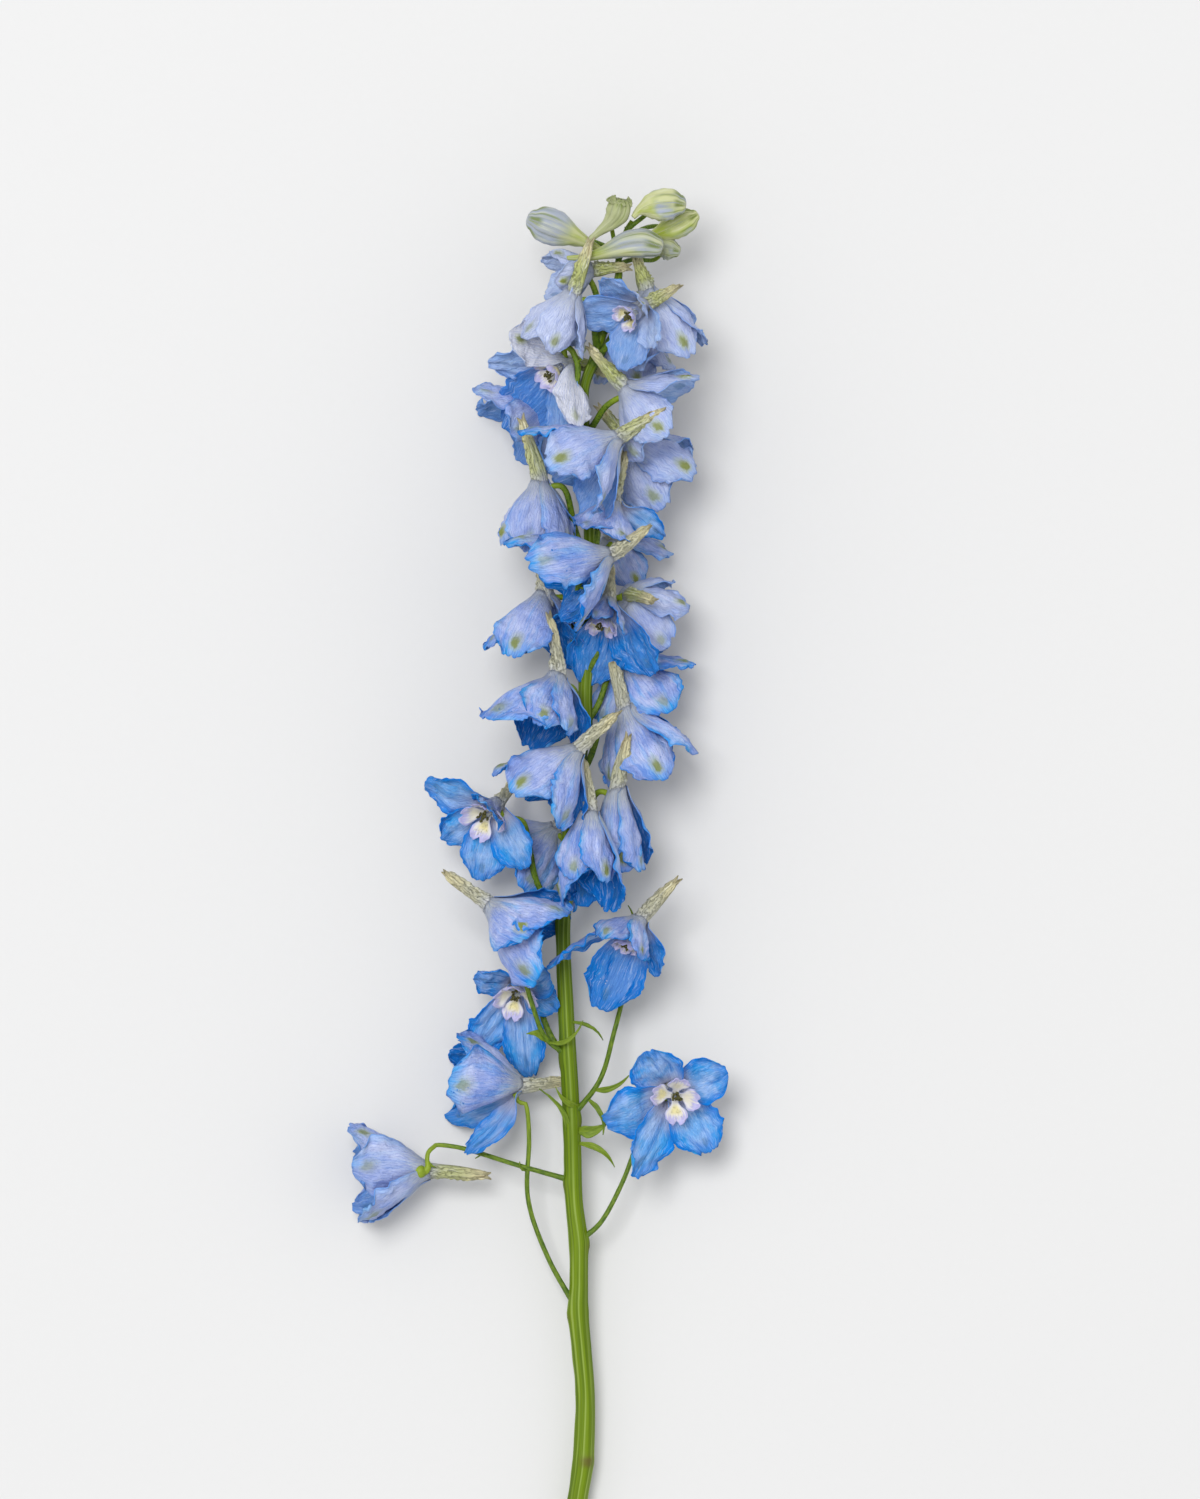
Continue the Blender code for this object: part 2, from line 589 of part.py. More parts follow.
def fused(name, base, repeats):
    """One solid from a base shape and what grows from it, joined by one Boolean union."""
    piece = mesh_object(name, base)
    group = bpy.data.collections.new(name + "_repeats")
    bpy.context.scene.collection.children.link(group)
    for n, shape in enumerate(repeats):
        part = mesh_object(f"{name}_repeat_{n}", shape)
        bpy.context.scene.collection.objects.unlink(part)
        group.objects.link(part)
    union = piece.modifiers.new("union", "BOOLEAN")
    union.operation = "UNION"
    union.operand_type = "COLLECTION"
    union.collection = group
    union.solver = "EXACT"
    graph = bpy.context.evaluated_depsgraph_get()
    joined = bpy.data.meshes.new_from_object(piece.evaluated_get(graph))
    piece.modifiers.clear()
    piece.data = joined
    keep_largest(joined)
    for part in list(group.objects):
        bpy.data.objects.remove(part)
    bpy.data.collections.remove(group)
    return piece


def material(name):
    colour, roughness = MATERIALS[name]
    made = bpy.data.materials.new(name)
    made.use_nodes = True
    shader = made.node_tree.nodes["Principled BSDF"]
    shader.inputs["Base Color"].default_value = (*colour, 1.0)
    shader.inputs["Roughness"].default_value = roughness
    shader.inputs["Metallic"].default_value = 0.0
    return made


def finish(piece, finish_material, smooth_angle):
    piece.data.materials.clear()
    piece.data.materials.append(finish_material)
    piece.data.shade_smooth()
    piece.data.set_sharp_from_angle(angle=math.radians(smooth_angle))


def green_shapes(frames):
    """The stem and everything green that grows from it."""
    shapes = [floret_pedicel(row, frames[name]) for name, row in FLORETS.items()]
    shapes += [bud_pedicel(row) for row in BUDS.values()]
    shapes += [bract_shape(*bract) for bract in BRACTS]
    return shapes


def placed_sepals(frames, greens, bees):
    """Every floret's sepals, front florets first, each bent clear of what is already there."""
    obstacles = [("stem", search_tree(shape)) for shape in greens + [stem_shape()]]
    obstacles += [(name, search_tree(spur_shape(row, frames[name]))) for name, row in FLORETS.items()]
    obstacles += [(name, search_tree(bud_shape(row))) for name, row in BUDS.items()]
    for name, shapes in bees.items():
        obstacles += [("bee of " + name, search_tree(shape)) for shape in shapes]
    sepals = {}
    for name in sorted(FLORETS, key=lambda n: -FLORETS[n]["neck"][2]):
        row = FLORETS[name]
        sepals[name] = []
        for wish in sepal_wishes(int(name[-2:]), row):
            shape, fat = clear_sepal(frames[name], wish, row.get("rests", False), name, obstacles)
            sepals[name].append(shape)
            obstacles.append((name, search_tree(fat)))
    return sepals


def build():
    for old in list(bpy.data.objects):
        bpy.data.objects.remove(old)
    looks = {name: material(name) for name in MATERIALS}
    frames = {name: floret_frame(row) for name, row in FLORETS.items()}
    greens = green_shapes(frames)
    bees = {name: bee_shapes(row, frames[name]) for name, row in FLORETS.items() if row.get("bee")}
    sepals = placed_sepals(frames, greens, bees)
    finish(fused("stem", stem_shape(), greens), looks["stem_green"], 40)
    for name, row in FLORETS.items():
        finish(fused(name, spur_shape(row, frames[name]), sepals[name]), looks["sepal_blue"], 35)
    for name, shapes in bees.items():
        finish(fused(name.replace("floret", "bee"), shapes[0], shapes[1:]), looks["bee_white"], 35)
    for name, row in BUDS.items():
        finish(mesh_object(name, bud_shape(row)), looks["bud_pale"], 50)


build()
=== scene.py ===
# Delphinium flower spike, cut and laid on a pale table, seen from straight above.
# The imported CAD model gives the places; every visible surface here is a finer piece that follows them.
import math
import random

import bpy
import numpy as np
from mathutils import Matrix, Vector


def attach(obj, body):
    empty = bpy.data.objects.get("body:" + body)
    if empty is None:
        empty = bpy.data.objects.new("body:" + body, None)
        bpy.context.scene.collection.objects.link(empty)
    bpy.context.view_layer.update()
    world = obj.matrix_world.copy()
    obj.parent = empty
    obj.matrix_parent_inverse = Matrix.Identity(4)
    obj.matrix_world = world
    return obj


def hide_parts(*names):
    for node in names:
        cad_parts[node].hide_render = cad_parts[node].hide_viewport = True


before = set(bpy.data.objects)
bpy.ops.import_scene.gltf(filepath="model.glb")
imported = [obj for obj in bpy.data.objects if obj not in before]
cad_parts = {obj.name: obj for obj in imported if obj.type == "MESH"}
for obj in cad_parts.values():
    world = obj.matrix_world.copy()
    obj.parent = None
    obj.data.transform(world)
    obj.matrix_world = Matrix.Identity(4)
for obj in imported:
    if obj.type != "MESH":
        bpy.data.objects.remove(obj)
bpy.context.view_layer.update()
print("stage 1: frame loaded,", len(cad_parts), "nodes")

mm = 0.001  # the tables below are in millimetres
boxShift = np.array((-0.168, 0.198, 0.0))  # from the tables' origin to the frame's
up = np.array((0.0, 0.0, 1.0))


# Small helpers for places and directions

def axisHeight(y):
    return 3.4 + 0.077 * (y + 237.3)  # the stem's middle climbs gently from its cut end


def toPlace(x, y, depth):
    return np.array((x, y, axisHeight(y) + depth))


def heading(planAngle, tilt):
    planAngle, tilt = math.radians(planAngle), math.radians(tilt)
    level = math.cos(tilt)
    return np.array((level * math.cos(planAngle), level * math.sin(planAngle), math.sin(tilt)))


def unit(vectors):
    vectors = np.asarray(vectors, float)
    return vectors / np.maximum(np.linalg.norm(vectors, axis=-1, keepdims=True), 1e-9)


def across(vector, axis):
    return unit(vector - axis * np.dot(vector, axis))


def ramp(t, low, high):
    s = np.clip((np.asarray(t, float) - low) / (high - low), 0, 1)
    return s * s * (3 - 2 * s)


def bezier(points, count):
    degree = len(points) - 1
    t = np.linspace(0, 1, count)[:, None]
    return sum(math.comb(degree, i) * t**i * (1 - t) ** (degree - i) * np.array(p) for i, p in enumerate(points))


def smoothRoute(points, count):
    points = np.array(points, float)
    padded = np.vstack((2 * points[0] - points[1], points, 2 * points[-1] - points[-2]))
    fine = []
    for a, b, c, d in zip(padded, padded[1:], padded[2:], padded[3:]):
        for t in np.linspace(0, 1, 12, endpoint=False):
            fine.append(0.5 * (2 * b + (c - a) * t + (2 * a - 5 * b + 4 * c - d) * t**2
                               + (3 * b - a - 3 * c + d) * t**3))
    fine = np.array(fine + [points[-1]])
    gone = np.concatenate(([0], np.cumsum(np.linalg.norm(np.diff(fine[:, :3], axis=0), axis=1))))
    wanted = np.linspace(0, gone[-1], count)
    return np.stack([np.interp(wanted, gone, fine[:, k]) for k in range(points.shape[1])], axis=1)


def unevenness(a, b, seed, count=8, low=0.6, high=1.5):
    # soft random relief, about -1.5 to 1.5; a and b are in wavelengths
    draw = np.random.default_rng(seed)
    total = 0.0
    for _ in range(count):
        pitch, turn, start = draw.uniform(low, high), draw.uniform(0, 2 * math.pi), draw.uniform(0, 2 * math.pi)
        total = total + np.sin(2 * math.pi * pitch * (a * math.cos(turn) + b * math.sin(turn)) + start)
    return total / math.sqrt(count)


# Sheets and tubes: each is a dict of points, face groups, shape UV, dye (r, g, b per point), look number

def gridFaces(rows, columns, closed=False, flip=False, start=0):
    i, j = np.meshgrid(np.arange(rows - 1), np.arange(columns if closed else columns - 1), indexing="ij")
    n = (j + 1) % columns
    quads = np.stack((i * columns + j, i * columns + n, (i + 1) * columns + n, (i + 1) * columns + j), -1)
    quads = quads.reshape(-1, 4) + start
    return quads[:, ::-1] if flip else quads


def gridNormals(grid):
    return unit(np.cross(np.gradient(grid, axis=1), np.gradient(grid, axis=0)))


def thinSheet(grid, uv, thickness, age, seed, look):
    # an outer and an inner skin with a closed rim; dye red says which side a point is on
    rows, columns = grid.shape[:2]
    lift = gridNormals(grid) * thickness / 2
    count = rows * columns
    points = np.concatenate(((grid + lift).reshape(-1, 3), (grid - lift).reshape(-1, 3)))
    rim = np.concatenate((
        np.arange(columns), columns * np.arange(1, rows) + columns - 1,
        (rows - 1) * columns + np.arange(columns - 2, -1, -1), columns * np.arange(rows - 2, 0, -1)))
    after = np.roll(rim, -1)
    rimFaces = np.stack((rim, rim + count, after + count, after), -1)
    faces = np.concatenate((gridFaces(rows, columns), gridFaces(rows, columns, flip=True, start=count), rimFaces))
    dye = np.tile(np.array((0.0, age, seed)), (2 * count, 1))
    dye[count:, 0] = 1.0
    return dict(points=points, faces=[faces], uv=np.concatenate((uv.reshape(-1, 2),) * 2), dye=dye, look=look)


def tubeFrame(path, firstSide=None):
    tangents = unit(np.gradient(path, axis=0))
    side = across(firstSide if firstSide is not None else up, tangents[0])
    sides = []
    for tangent in tangents:
        side = across(side, tangent)
        sides.append(side)
    return np.array(sides), np.cross(tangents, sides)


def tubeGrid(path, radii, sides, firstSide=None, relief=None):
    # radii per ring; relief is a share of the radius per ring and side
    first, second = tubeFrame(path, firstSide)
    turn = 2 * math.pi * np.arange(sides) / sides
    radii = np.asarray(radii, float)[:, None] * np.ones(sides)
    if relief is not None:
        radii = radii * (1 + relief(turn[None, :], np.linspace(0, 1, len(path))[:, None]))
    one = np.cos(turn)[None, :, None] * first[:, None, :]
    two = np.sin(turn)[None, :, None] * second[:, None, :]
    return path[:, None, :] + radii[..., None] * (one + two)


def tubeSheet(grid, dye, look, capStart=True, capEnd=True, uvLength=1.0):
    # each cap is a fan round a middle point, which takes the last dye
    rows, sides = grid.shape[:2]
    faces = [gridFaces(rows, sides, closed=True)]
    points = [grid.reshape(-1, 3)]
    turn = np.tile(np.arange(sides) / sides, (rows, 1))
    along = np.tile(np.linspace(0, uvLength, rows)[:, None], (1, sides))
    uv = [np.stack((turn, along), -1).reshape(-1, 2)]
    count = rows * sides
    for there, ring, flip, v in ((capStart, 0, True, 0.0), (capEnd, rows - 1, False, uvLength)):
        if there:
            points.append(grid[ring].mean(0, keepdims=True))
            uv.append(np.array(((0.5, v),)))
            k = np.arange(sides)
            low, high, middle = ring * sides + k, ring * sides + (k + 1) % sides, np.full(sides, count)
            faces.append(np.stack((high, low, middle) if flip else (low, high, middle), -1))
            count += 1
    dye = np.atleast_2d(np.asarray(dye, float))
    dye = np.concatenate((dye, np.tile(dye[-1], (count - len(dye), 1))))
    return dict(points=np.concatenate(points), faces=faces, uv=np.concatenate(uv), dye=dye, look=look)


def addPiece(name, sheets, materials, replaced=None):
    # one object from many sheets, riding on the CAD's one body
    faces, look, start = [], [], 0
    for sheet in sheets:
        for group in sheet["faces"]:
            faces += (group + start).tolist()
            look += [sheet["look"]] * len(group)
        start += len(sheet["points"])
    points, uv, dye = (np.concatenate([sheet[key] for sheet in sheets]) for key in ("points", "uv", "dye"))
    mesh = bpy.data.meshes.new(name)
    mesh.from_pydata(((points + boxShift) * mm).tolist(), [], faces)
    corners = np.zeros(len(mesh.loops), int)
    mesh.loops.foreach_get("vertex_index", corners)
    mesh.uv_layers.new(name="shape").data.foreach_set("uv", uv[corners].astype(np.float32).ravel())
    colours = np.concatenate((dye, np.ones((len(dye), 1))), axis=1).astype(np.float32)
    mesh.color_attributes.new("dye", "FLOAT_COLOR", "POINT").data.foreach_set("color", colours.ravel())
    for material in materials:
        mesh.materials.append(material)
    mesh.polygons.foreach_set("material_index", look)
    mesh.shade_smooth()
    mesh.update()
    piece = bpy.data.objects.new(name, mesh)
    bpy.context.scene.collection.objects.link(piece)
    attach(piece, "root")
    if replaced:
        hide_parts(*replaced)


# Looks. Every material reads the mesh's own UV and dye, so it stays put from any side.

class Signal:
    # what comes out of a shader node; it adds, subtracts, multiplies and divides as a number does
    def __init__(self, wiring, socket):
        self.wiring, self.socket = wiring, socket

    def __add__(self, other):
        return self.wiring.math("ADD", self, other)

    def __sub__(self, other):
        return self.wiring.math("SUBTRACT", self, other)

    def __rsub__(self, other):
        return self.wiring.math("SUBTRACT", other, self)

    def __mul__(self, other):
        return self.wiring.math("MULTIPLY", self, other)

    def __truediv__(self, other):
        return self.wiring.math("DIVIDE", self, other)

    def __abs__(self):
        return self.wiring.math("ABSOLUTE", self)

    __radd__, __rmul__ = __add__, __mul__


class Wiring:
    # a short way to place and link shader nodes
    def __init__(self, name):
        self.material = bpy.data.materials.new(name)
        self.material.use_nodes = True
        self.tree = self.material.node_tree
        self.tree.nodes.clear()

    def node(self, kind, inputs=(), **settings):
        made = self.tree.nodes.new(kind)
        for key, value in settings.items():
            setattr(made, key, value)
        for key, value in dict(inputs).items():
            if isinstance(value, Signal):
                self.tree.links.new(value.socket, made.inputs[key])
            else:
                made.inputs[key].default_value = value
        return [Signal(self, socket) for socket in made.outputs]

    def math(self, operation, *values):
        return self.node("ShaderNodeMath", enumerate(values), operation=operation)[0]

    def mix(self, share, first, second, blend="MIX"):
        first, second = ((*c, 1.0) if isinstance(c, tuple) else c for c in (first, second))
        return self.node("ShaderNodeMix", {0: share, 6: first, 7: second}, data_type="RGBA", blend_type=blend)[2]

    def between(self, value, low, high):
        # 0 up to low, 1 from high on, with a soft step between; a low above high turns it round
        return self.node("ShaderNodeMapRange", {0: value, 1: low, 2: high, 3: 0.0, 4: 1.0},
                         interpolation_type="SMOOTHSTEP")[0]

    def noise(self, place, scale, detail=2.0, roughness=0.5):
        return self.node("ShaderNodeTexNoise", {"Vector": place, "Scale": scale, "Detail": detail,
                                                "Roughness": roughness})[0]

    def clouds(self, x, y, z, detail=2.0, roughness=0.5, scale=1.0):
        return self.noise(self.node("ShaderNodeCombineXYZ", {0: x, 1: y, 2: z})[0], scale, detail, roughness)

    def roundClouds(self, turn, reach, along, detail=2.0, roughness=0.5):
        # the same round a tube, where they close without a seam
        x, y = self.math("COSINE", turn) * reach, self.math("SINE", turn) * reach
        return self.clouds(x, y, along, detail, roughness)

    def shape(self):
        return self.node("ShaderNodeSeparateXYZ", {0: self.node("ShaderNodeUVMap", uv_map="shape")[0]})[:2]

    def dye(self):
        return self.node("ShaderNodeSeparateColor", {0: self.node("ShaderNodeAttribute", attribute_name="dye")[0]})

    def finish(self, colour, roughness, height, strength, distance, glow=0.0, sheen=0.0, gloss=0.3):
        bump = self.node("ShaderNodeBump", {"Strength": strength, "Distance": distance, "Height": height})[0]
        shader = self.node("ShaderNodeBsdfPrincipled", {
            "Base Color": colour, "Roughness": roughness, "Sheen Weight": sheen, "Specular IOR Level": gloss,
            "Normal": bump})[0]
        if glow:  # light that comes through the thin tissue
            through = self.node("ShaderNodeBsdfTranslucent", {"Color": colour})[0]
            shader = self.node("ShaderNodeMixShader", {0: glow, 1: shader, 2: through})[0]
        self.node("ShaderNodeOutputMaterial", {0: shader})
        return self.material


sepalColours = dict(
    lilac=(0.30, 0.40, 0.79), paleLilac=(0.54, 0.61, 0.91), young=(0.66, 0.72, 0.92), sky=(0.001, 0.24, 0.80),
    skyPale=(0.05, 0.39, 0.87), lightLilac=(0.36, 0.57, 0.93), deepStreakAndShade=(0.001, 0.18, 0.62),
    whitish=(0.88, 0.88, 0.94), greyNeck=(0.50, 0.52, 0.52), throat=(0.66, 0.67, 0.86), olive=(0.23, 0.27, 0.03),
    halo=(0.47, 0.52, 0.26), dimple=(0.05, 0.17, 0.36), vein=(0.32, 0.44, 0.74), glint=(0.78, 0.86, 0.99),
    glow=0.13, roughness=0.6, gloss=0.12)


def sepalLook():
    c = sepalColours
    w = Wiring("sepal tissue")
    u, v = w.shape()
    side, age, seed = w.dye()
    spread = abs(u - 0.5)  # 0 at the middle line, 0.5 at the rim
    shift = seed * 37.0
    bending = w.clouds(u * 5.0, v * 7.0, shift, 3.0, 0.6)
    ribs = abs(w.math("SINE", (u * 21.0 + bending * 3.4) * math.pi))
    veinLine = 1.0 - w.between(ribs, 0.0, 0.42)  # thin forking lines from neck to tip
    veins = w.clouds(u * 36.0, v * 7.0, shift, 4.0, 0.68)
    streaks = w.clouds(u * 9.0, v * 1.6, shift)
    clouds = w.clouds(u * 2.4, v * 2.8, shift, 3.0, 0.55)
    puckers = w.clouds(u * 20.0, v * 22.0, shift, 4.0, 0.65)

    # outside: lilac, paler and greyer toward the neck, bluer toward the rim and tip
    outer = w.mix(w.between(clouds, 0.35, 0.68), c["lilac"], c["paleLilac"])
    rim = (w.between(spread, 0.32, 0.5) + w.between(v, 0.72, 1.0)) * (0.12 + age * 0.88)
    patch = w.between(streaks, 0.46, 0.68) * (age * 0.62)
    blueness = w.math("MINIMUM", rim * w.between(clouds, 0.25, 0.55) + patch, 1.0)
    outer = w.mix(blueness, outer, w.mix(w.between(clouds, 0.4, 0.6), c["sky"], c["skyPale"]))
    youth = (1.0 - w.between(age, 0.05, 0.62)) * 0.78
    outer = w.mix(youth, outer, c["young"])
    outer = w.mix(w.between(age, 0.06, 0.02) * 0.75, outer, c["whitish"])
    neckward = 1.0 - w.between(v + (veins - 0.5) * 0.5, 0.02, 0.42)
    outer = w.mix(neckward * (0.85 - youth * 0.45), outer, c["greyNeck"])

    # inside: light blue with lilac clouds, clear blue toward the rim, deeper streaks, painted shade that makes
    # bells darker inside, and a pale throat, fainter in bells
    inner = w.mix(w.between(clouds, 0.38, 0.62), c["skyPale"], c["lightLilac"])
    inner = w.mix(w.between(spread, 0.34, 0.04) * 0.45, inner, c["lightLilac"])
    innerRim = w.math("MINIMUM", w.between(spread, 0.24, 0.5) + w.between(v, 0.66, 1.0) * 0.8, 1.0)
    inner = w.mix(innerRim * (0.25 + age * 0.75), inner, c["sky"])
    closed = 1.0 - w.between(age, 0.76, 0.88)  # painted shade: bells are darker inside than open flowers
    # the deep blue comes partly from real streaks and partly from painted shade inside bells
    depth = w.math("MINIMUM", closed * 0.92 + w.between(streaks, 0.5, 0.72) * 0.6, 1.0)
    inner = w.mix(depth * w.between(age, 0.15, 0.6), inner, c["deepStreakAndShade"])
    inner = w.mix(youth * 0.95, inner, c["young"])
    inner = w.mix((1.0 - w.between(v, 0.10, 0.46)) * (1.0 - closed * 0.5), inner, c["throat"])
    colour = w.mix(side, outer, inner)

    # fine lengthwise veins, and a thin darker outline
    colour = w.mix(w.between(veins, 0.51, 0.63) * 0.30 + veinLine * 0.36, colour, c["vein"], "MULTIPLY")
    colour = w.mix(w.between(veins, 0.47, 0.36) * 0.24, colour, c["glint"])
    edge = w.math("MAXIMUM", w.between(spread, 0.455, 0.5), w.between(v, 0.955, 1.0))
    colour = w.mix(edge * (0.08 + age * 0.60), colour, c["sky"])

    # the olive mark near the tip, with a soft tail toward the neck; a dark dimple inside
    du = (u - 0.5 + (puckers - 0.5) * 0.12) / 0.080
    dv = v + (streaks - 0.5) * 0.14 - 0.84
    below, above = w.math("MINIMUM", dv, 0.0) / 0.105, w.math("MAXIMUM", dv, 0.0) / 0.045
    far = du * du + (below * below + above * above)
    present = 0.35 + w.math("FRACT", seed * 91.7) * 0.65
    outside = 1.0 - side
    mark = (1.0 - w.between(far, 0.15, 1.5)) * present
    halo = (1.0 - w.between(far, 0.6, 4.5)) * (present * outside)
    colour = w.mix(halo * (0.75 - age * 0.35), colour, c["halo"])
    colour = w.mix(mark * outside * 0.92, colour, c["olive"])
    colour = w.mix(mark * side * 0.6, colour, c["dimple"])
    height = veins * 0.6 + puckers * 0.8 - veinLine * 0.10
    return w.finish(colour, c["roughness"], height, 1.0, 0.0008, c["glow"], gloss=c["gloss"])


# the groove colour is painted shade in the spur's wrinkles, and the crest colour is a painted highlight on them
spurColours = dict(
    lilac=(0.48, 0.50, 0.54), grey=(0.51, 0.50, 0.36), olive=(0.44, 0.48, 0.17), tip=(0.70, 0.64, 0.38),
    brown=(0.26, 0.16, 0.06), groove=(0.13, 0.14, 0.08), crestHighlight=(0.78, 0.79, 0.70), glow=0.06, roughness=0.66)


def spurLook():
    c = spurColours
    w = Wiring("spur tissue")
    u, v = w.shape()
    tipness, age, seed = w.dye()
    shift, turn = seed * 23.0, u * (2 * math.pi)
    fold = w.roundClouds(turn, 3.4, v * 3.6 + shift, 5.0, 0.68)
    bending = w.roundClouds(turn, 1.2, v * 7.0 + shift, 3.0, 0.65)
    cloud = w.roundClouds(turn, 1.0, v * 3.0 + shift)
    line = 1.0 - w.between(abs(w.math("SINE", (u * 11.0 + bending * 4.2) * math.pi)), 0.0, 0.45)
    body = w.mix(1.0 - w.between(age, 0.28, 0.64), c["grey"], c["olive"])
    colour = w.mix(w.between(v + (cloud - 0.5) * 0.5, 0.2, 0.6), c["lilac"], body)
    colour = w.mix(w.between(v + (fold - 0.5) * 0.3, 0.66, 1.0), colour, c["tip"])
    # painted shade and painted highlight on the wrinkles: the groove colour darkens one part of the folds, and the
    # crest colour lightens another
    colour = w.mix(w.between(fold, 0.52, 0.70) * 0.36, colour, c["groove"])
    colour = w.mix(line * 0.34, colour, c["groove"])  # painted shade: dark lines in the wrinkles
    colour = w.mix(w.between(fold, 0.47, 0.36) * 0.5, colour, c["crestHighlight"])
    colour = w.mix(w.between(cloud, 0.58, 0.72) * w.between(v, 0.62, 0.9) * 0.6, colour, c["brown"])
    colour = w.mix(tipness * 0.5, colour, c["brown"])
    return w.finish(colour, c["roughness"], fold - line * 0.6, 1.0, 0.0008, c["glow"])


beeColours = dict(white=(0.84, 0.82, 0.80), lilac=(0.56, 0.54, 0.82), yellow=(0.88, 0.80, 0.40),
                  edge=(0.40, 0.44, 0.82), glow=0.22, sheen=0.2, roughness=0.6)


def beeLook():
    c = beeColours
    w = Wiring("throat petal")
    u, v = w.shape()
    _, bearded, seed = w.dye()
    streaks = w.clouds(u * 14.0, v * 3.0, seed * 31.0, 3.0)
    spread = abs(u - 0.5)
    colour = w.mix(w.between(v + (streaks - 0.5) * 1.1, 0.44, 0.84), c["white"], c["lilac"])
    rim = w.math("MAXIMUM", w.between(spread, 0.40, 0.5), w.between(v, 0.90, 1.0))
    colour = w.mix(rim * 0.45, colour, c["edge"])
    beard = w.between(v, 0.14, 0.34) * (1.0 - w.between(v, 0.46, 0.70)) * (1.0 - w.between(spread, 0.14, 0.42))
    colour = w.mix(beard * (0.35 + bearded * 0.55), colour, c["yellow"])
    return w.finish(colour, c["roughness"], streaks, 0.4, 0.0003, c["glow"], c["sheen"])


def plainLook(name, first, second, scale, roughness, strength=0.4, glow=0.0):
    # two shades clouded together on the mesh's own UV, for hairs, filaments and anthers
    w = Wiring(name)
    u, v = w.shape()
    cloud = w.clouds(u * 4.0, v * 4.0, w.dye()[2] * 19.0, 3.0, scale=scale)
    return w.finish(w.mix(w.between(cloud, 0.38, 0.62), first, second), roughness, cloud, strength, 0.0002, glow)


stemColours = dict(bright=(0.135, 0.212, 0.002), mid=(0.092, 0.155, 0.001), dark=(0.036, 0.076, 0.001),
                   pale=(0.26, 0.35, 0.07), scar=(0.10, 0.065, 0.02), roughness=0.45, gloss=0.2)


def stemLook():
    c = stemColours
    w = Wiring("stem skin")
    u, v = w.shape()  # v is the length in decimetres
    scar, shade, _ = w.dye()
    turn = u * (2 * math.pi)
    ribs = w.roundClouds(turn, 3.0, v * 1.3, 3.0, 0.6)
    fine = w.roundClouds(turn, 9.0, v * 9.0, 3.0, 0.65)
    colour = w.mix(w.between(ribs, 0.40, 0.58), c["mid"], c["bright"])
    stripes = w.between(w.math("SINE", turn * 9.0 + ribs * 5.0), 0.25, 0.95) * w.between(ribs, 0.36, 0.60)
    colour = w.mix(stripes * 0.8, colour, c["pale"])
    colour = w.mix(w.between(ribs, 0.42, 0.30) * 0.8, colour, c["dark"])
    colour = w.mix(w.between(fine, 0.55, 0.72) * 0.25, colour, c["dark"])
    colour = w.mix(scar, w.mix(shade, colour, c["dark"]), c["scar"])
    return w.finish(colour, c["roughness"], ribs + fine * 0.4, 0.4, 0.0004, gloss=c["gloss"])


stalkColours = dict(light=(0.155, 0.235, 0.014), dark=(0.052, 0.112, 0.005), lime=(0.28, 0.37, 0.022),
                    glow=0.05, roughness=0.46)


def stalkLook():
    c = stalkColours
    w = Wiring("stalk and bract skin")
    u, v = w.shape()
    lime, shade, seed = w.dye()
    grain = w.clouds(u * 7.0, v * 5.0, seed * 13.0, 3.0, 0.6)
    colour = w.mix(w.between(grain, 0.38, 0.62), c["dark"], c["light"])
    colour = w.mix(lime, w.mix(shade, colour, c["dark"]), c["lime"])
    return w.finish(colour, c["roughness"], grain, 0.4, 0.0003, c["glow"])


budColours = dict(
    cream=(0.52, 0.54, 0.28), lime=(0.33, 0.40, 0.05), blue=(0.32, 0.36, 0.48), olive=(0.14, 0.19, 0.02),
    grey=(0.32, 0.35, 0.20), white=(0.40, 0.43, 0.42), glint=(0.78, 0.80, 0.72), glow=0.08, sheen=0.15,
    roughness=0.52)


def budLook():
    c = budColours
    w = Wiring("bud skin")
    u, v = w.shape()
    blue, grey, seed = w.dye()
    shift, turn = seed * 11.0, u * (2 * math.pi)
    grain = w.roundClouds(turn, 4.5, v * 1.8 + shift, 4.0, 0.62)
    cloud = w.roundClouds(turn, 1.0, v * 2.4 + shift)
    petals = abs(w.math("COSINE", turn * 2.5))  # 1 in each sepal's middle
    colour = w.mix(w.between(cloud, 0.35, 0.65), c["cream"], c["lime"])
    swell = w.between(v + (cloud - 0.5) * 0.25, 0.34, 0.58)
    reach = cloud + petals * 0.07 + (blue - 0.5) * 0.62
    tint = w.mix(w.between(grain, 0.42, 0.58), c["white"], c["blue"])
    colour = w.mix(swell * w.between(reach, 0.44, 0.74), colour, tint)
    colour = w.mix(grey, colour, c["grey"])
    mark = w.between(petals, 0.62, 0.95) * (w.between(v, 0.76, 0.87) * (1.0 - w.between(v, 0.93, 0.985)))
    seam = w.between(petals, 0.22, 0.04) * w.between(v, 0.45, 0.7)
    for share in (mark * 0.85, seam * 0.65, w.between(grain, 0.56, 0.70) * 0.35):
        colour = w.mix(share, colour, c["olive"])
    colour = w.mix(w.between(grain, 0.44, 0.32) * 0.2, colour, c["glint"])
    return w.finish(colour, c["roughness"], grain, 0.55, 0.0004, c["glow"], c["sheen"])


looks = dict(
    sepal=sepalLook(), spur=spurLook(), bee=beeLook(), stem=stemLook(), stalk=stalkLook(), bud=budLook(),
    hair=plainLook("beard hair", (0.88, 0.84, 0.50), (0.92, 0.90, 0.80), 2.0, 0.7, glow=0.2),
    filament=plainLook("filament", (0.62, 0.66, 0.52), (0.74, 0.74, 0.80), 2.0, 0.6),
    anther=plainLook("anther", (0.030, 0.028, 0.012), (0.135, 0.130, 0.030), 3.0, 0.72, 0.8))
print("stage 2: materials made")


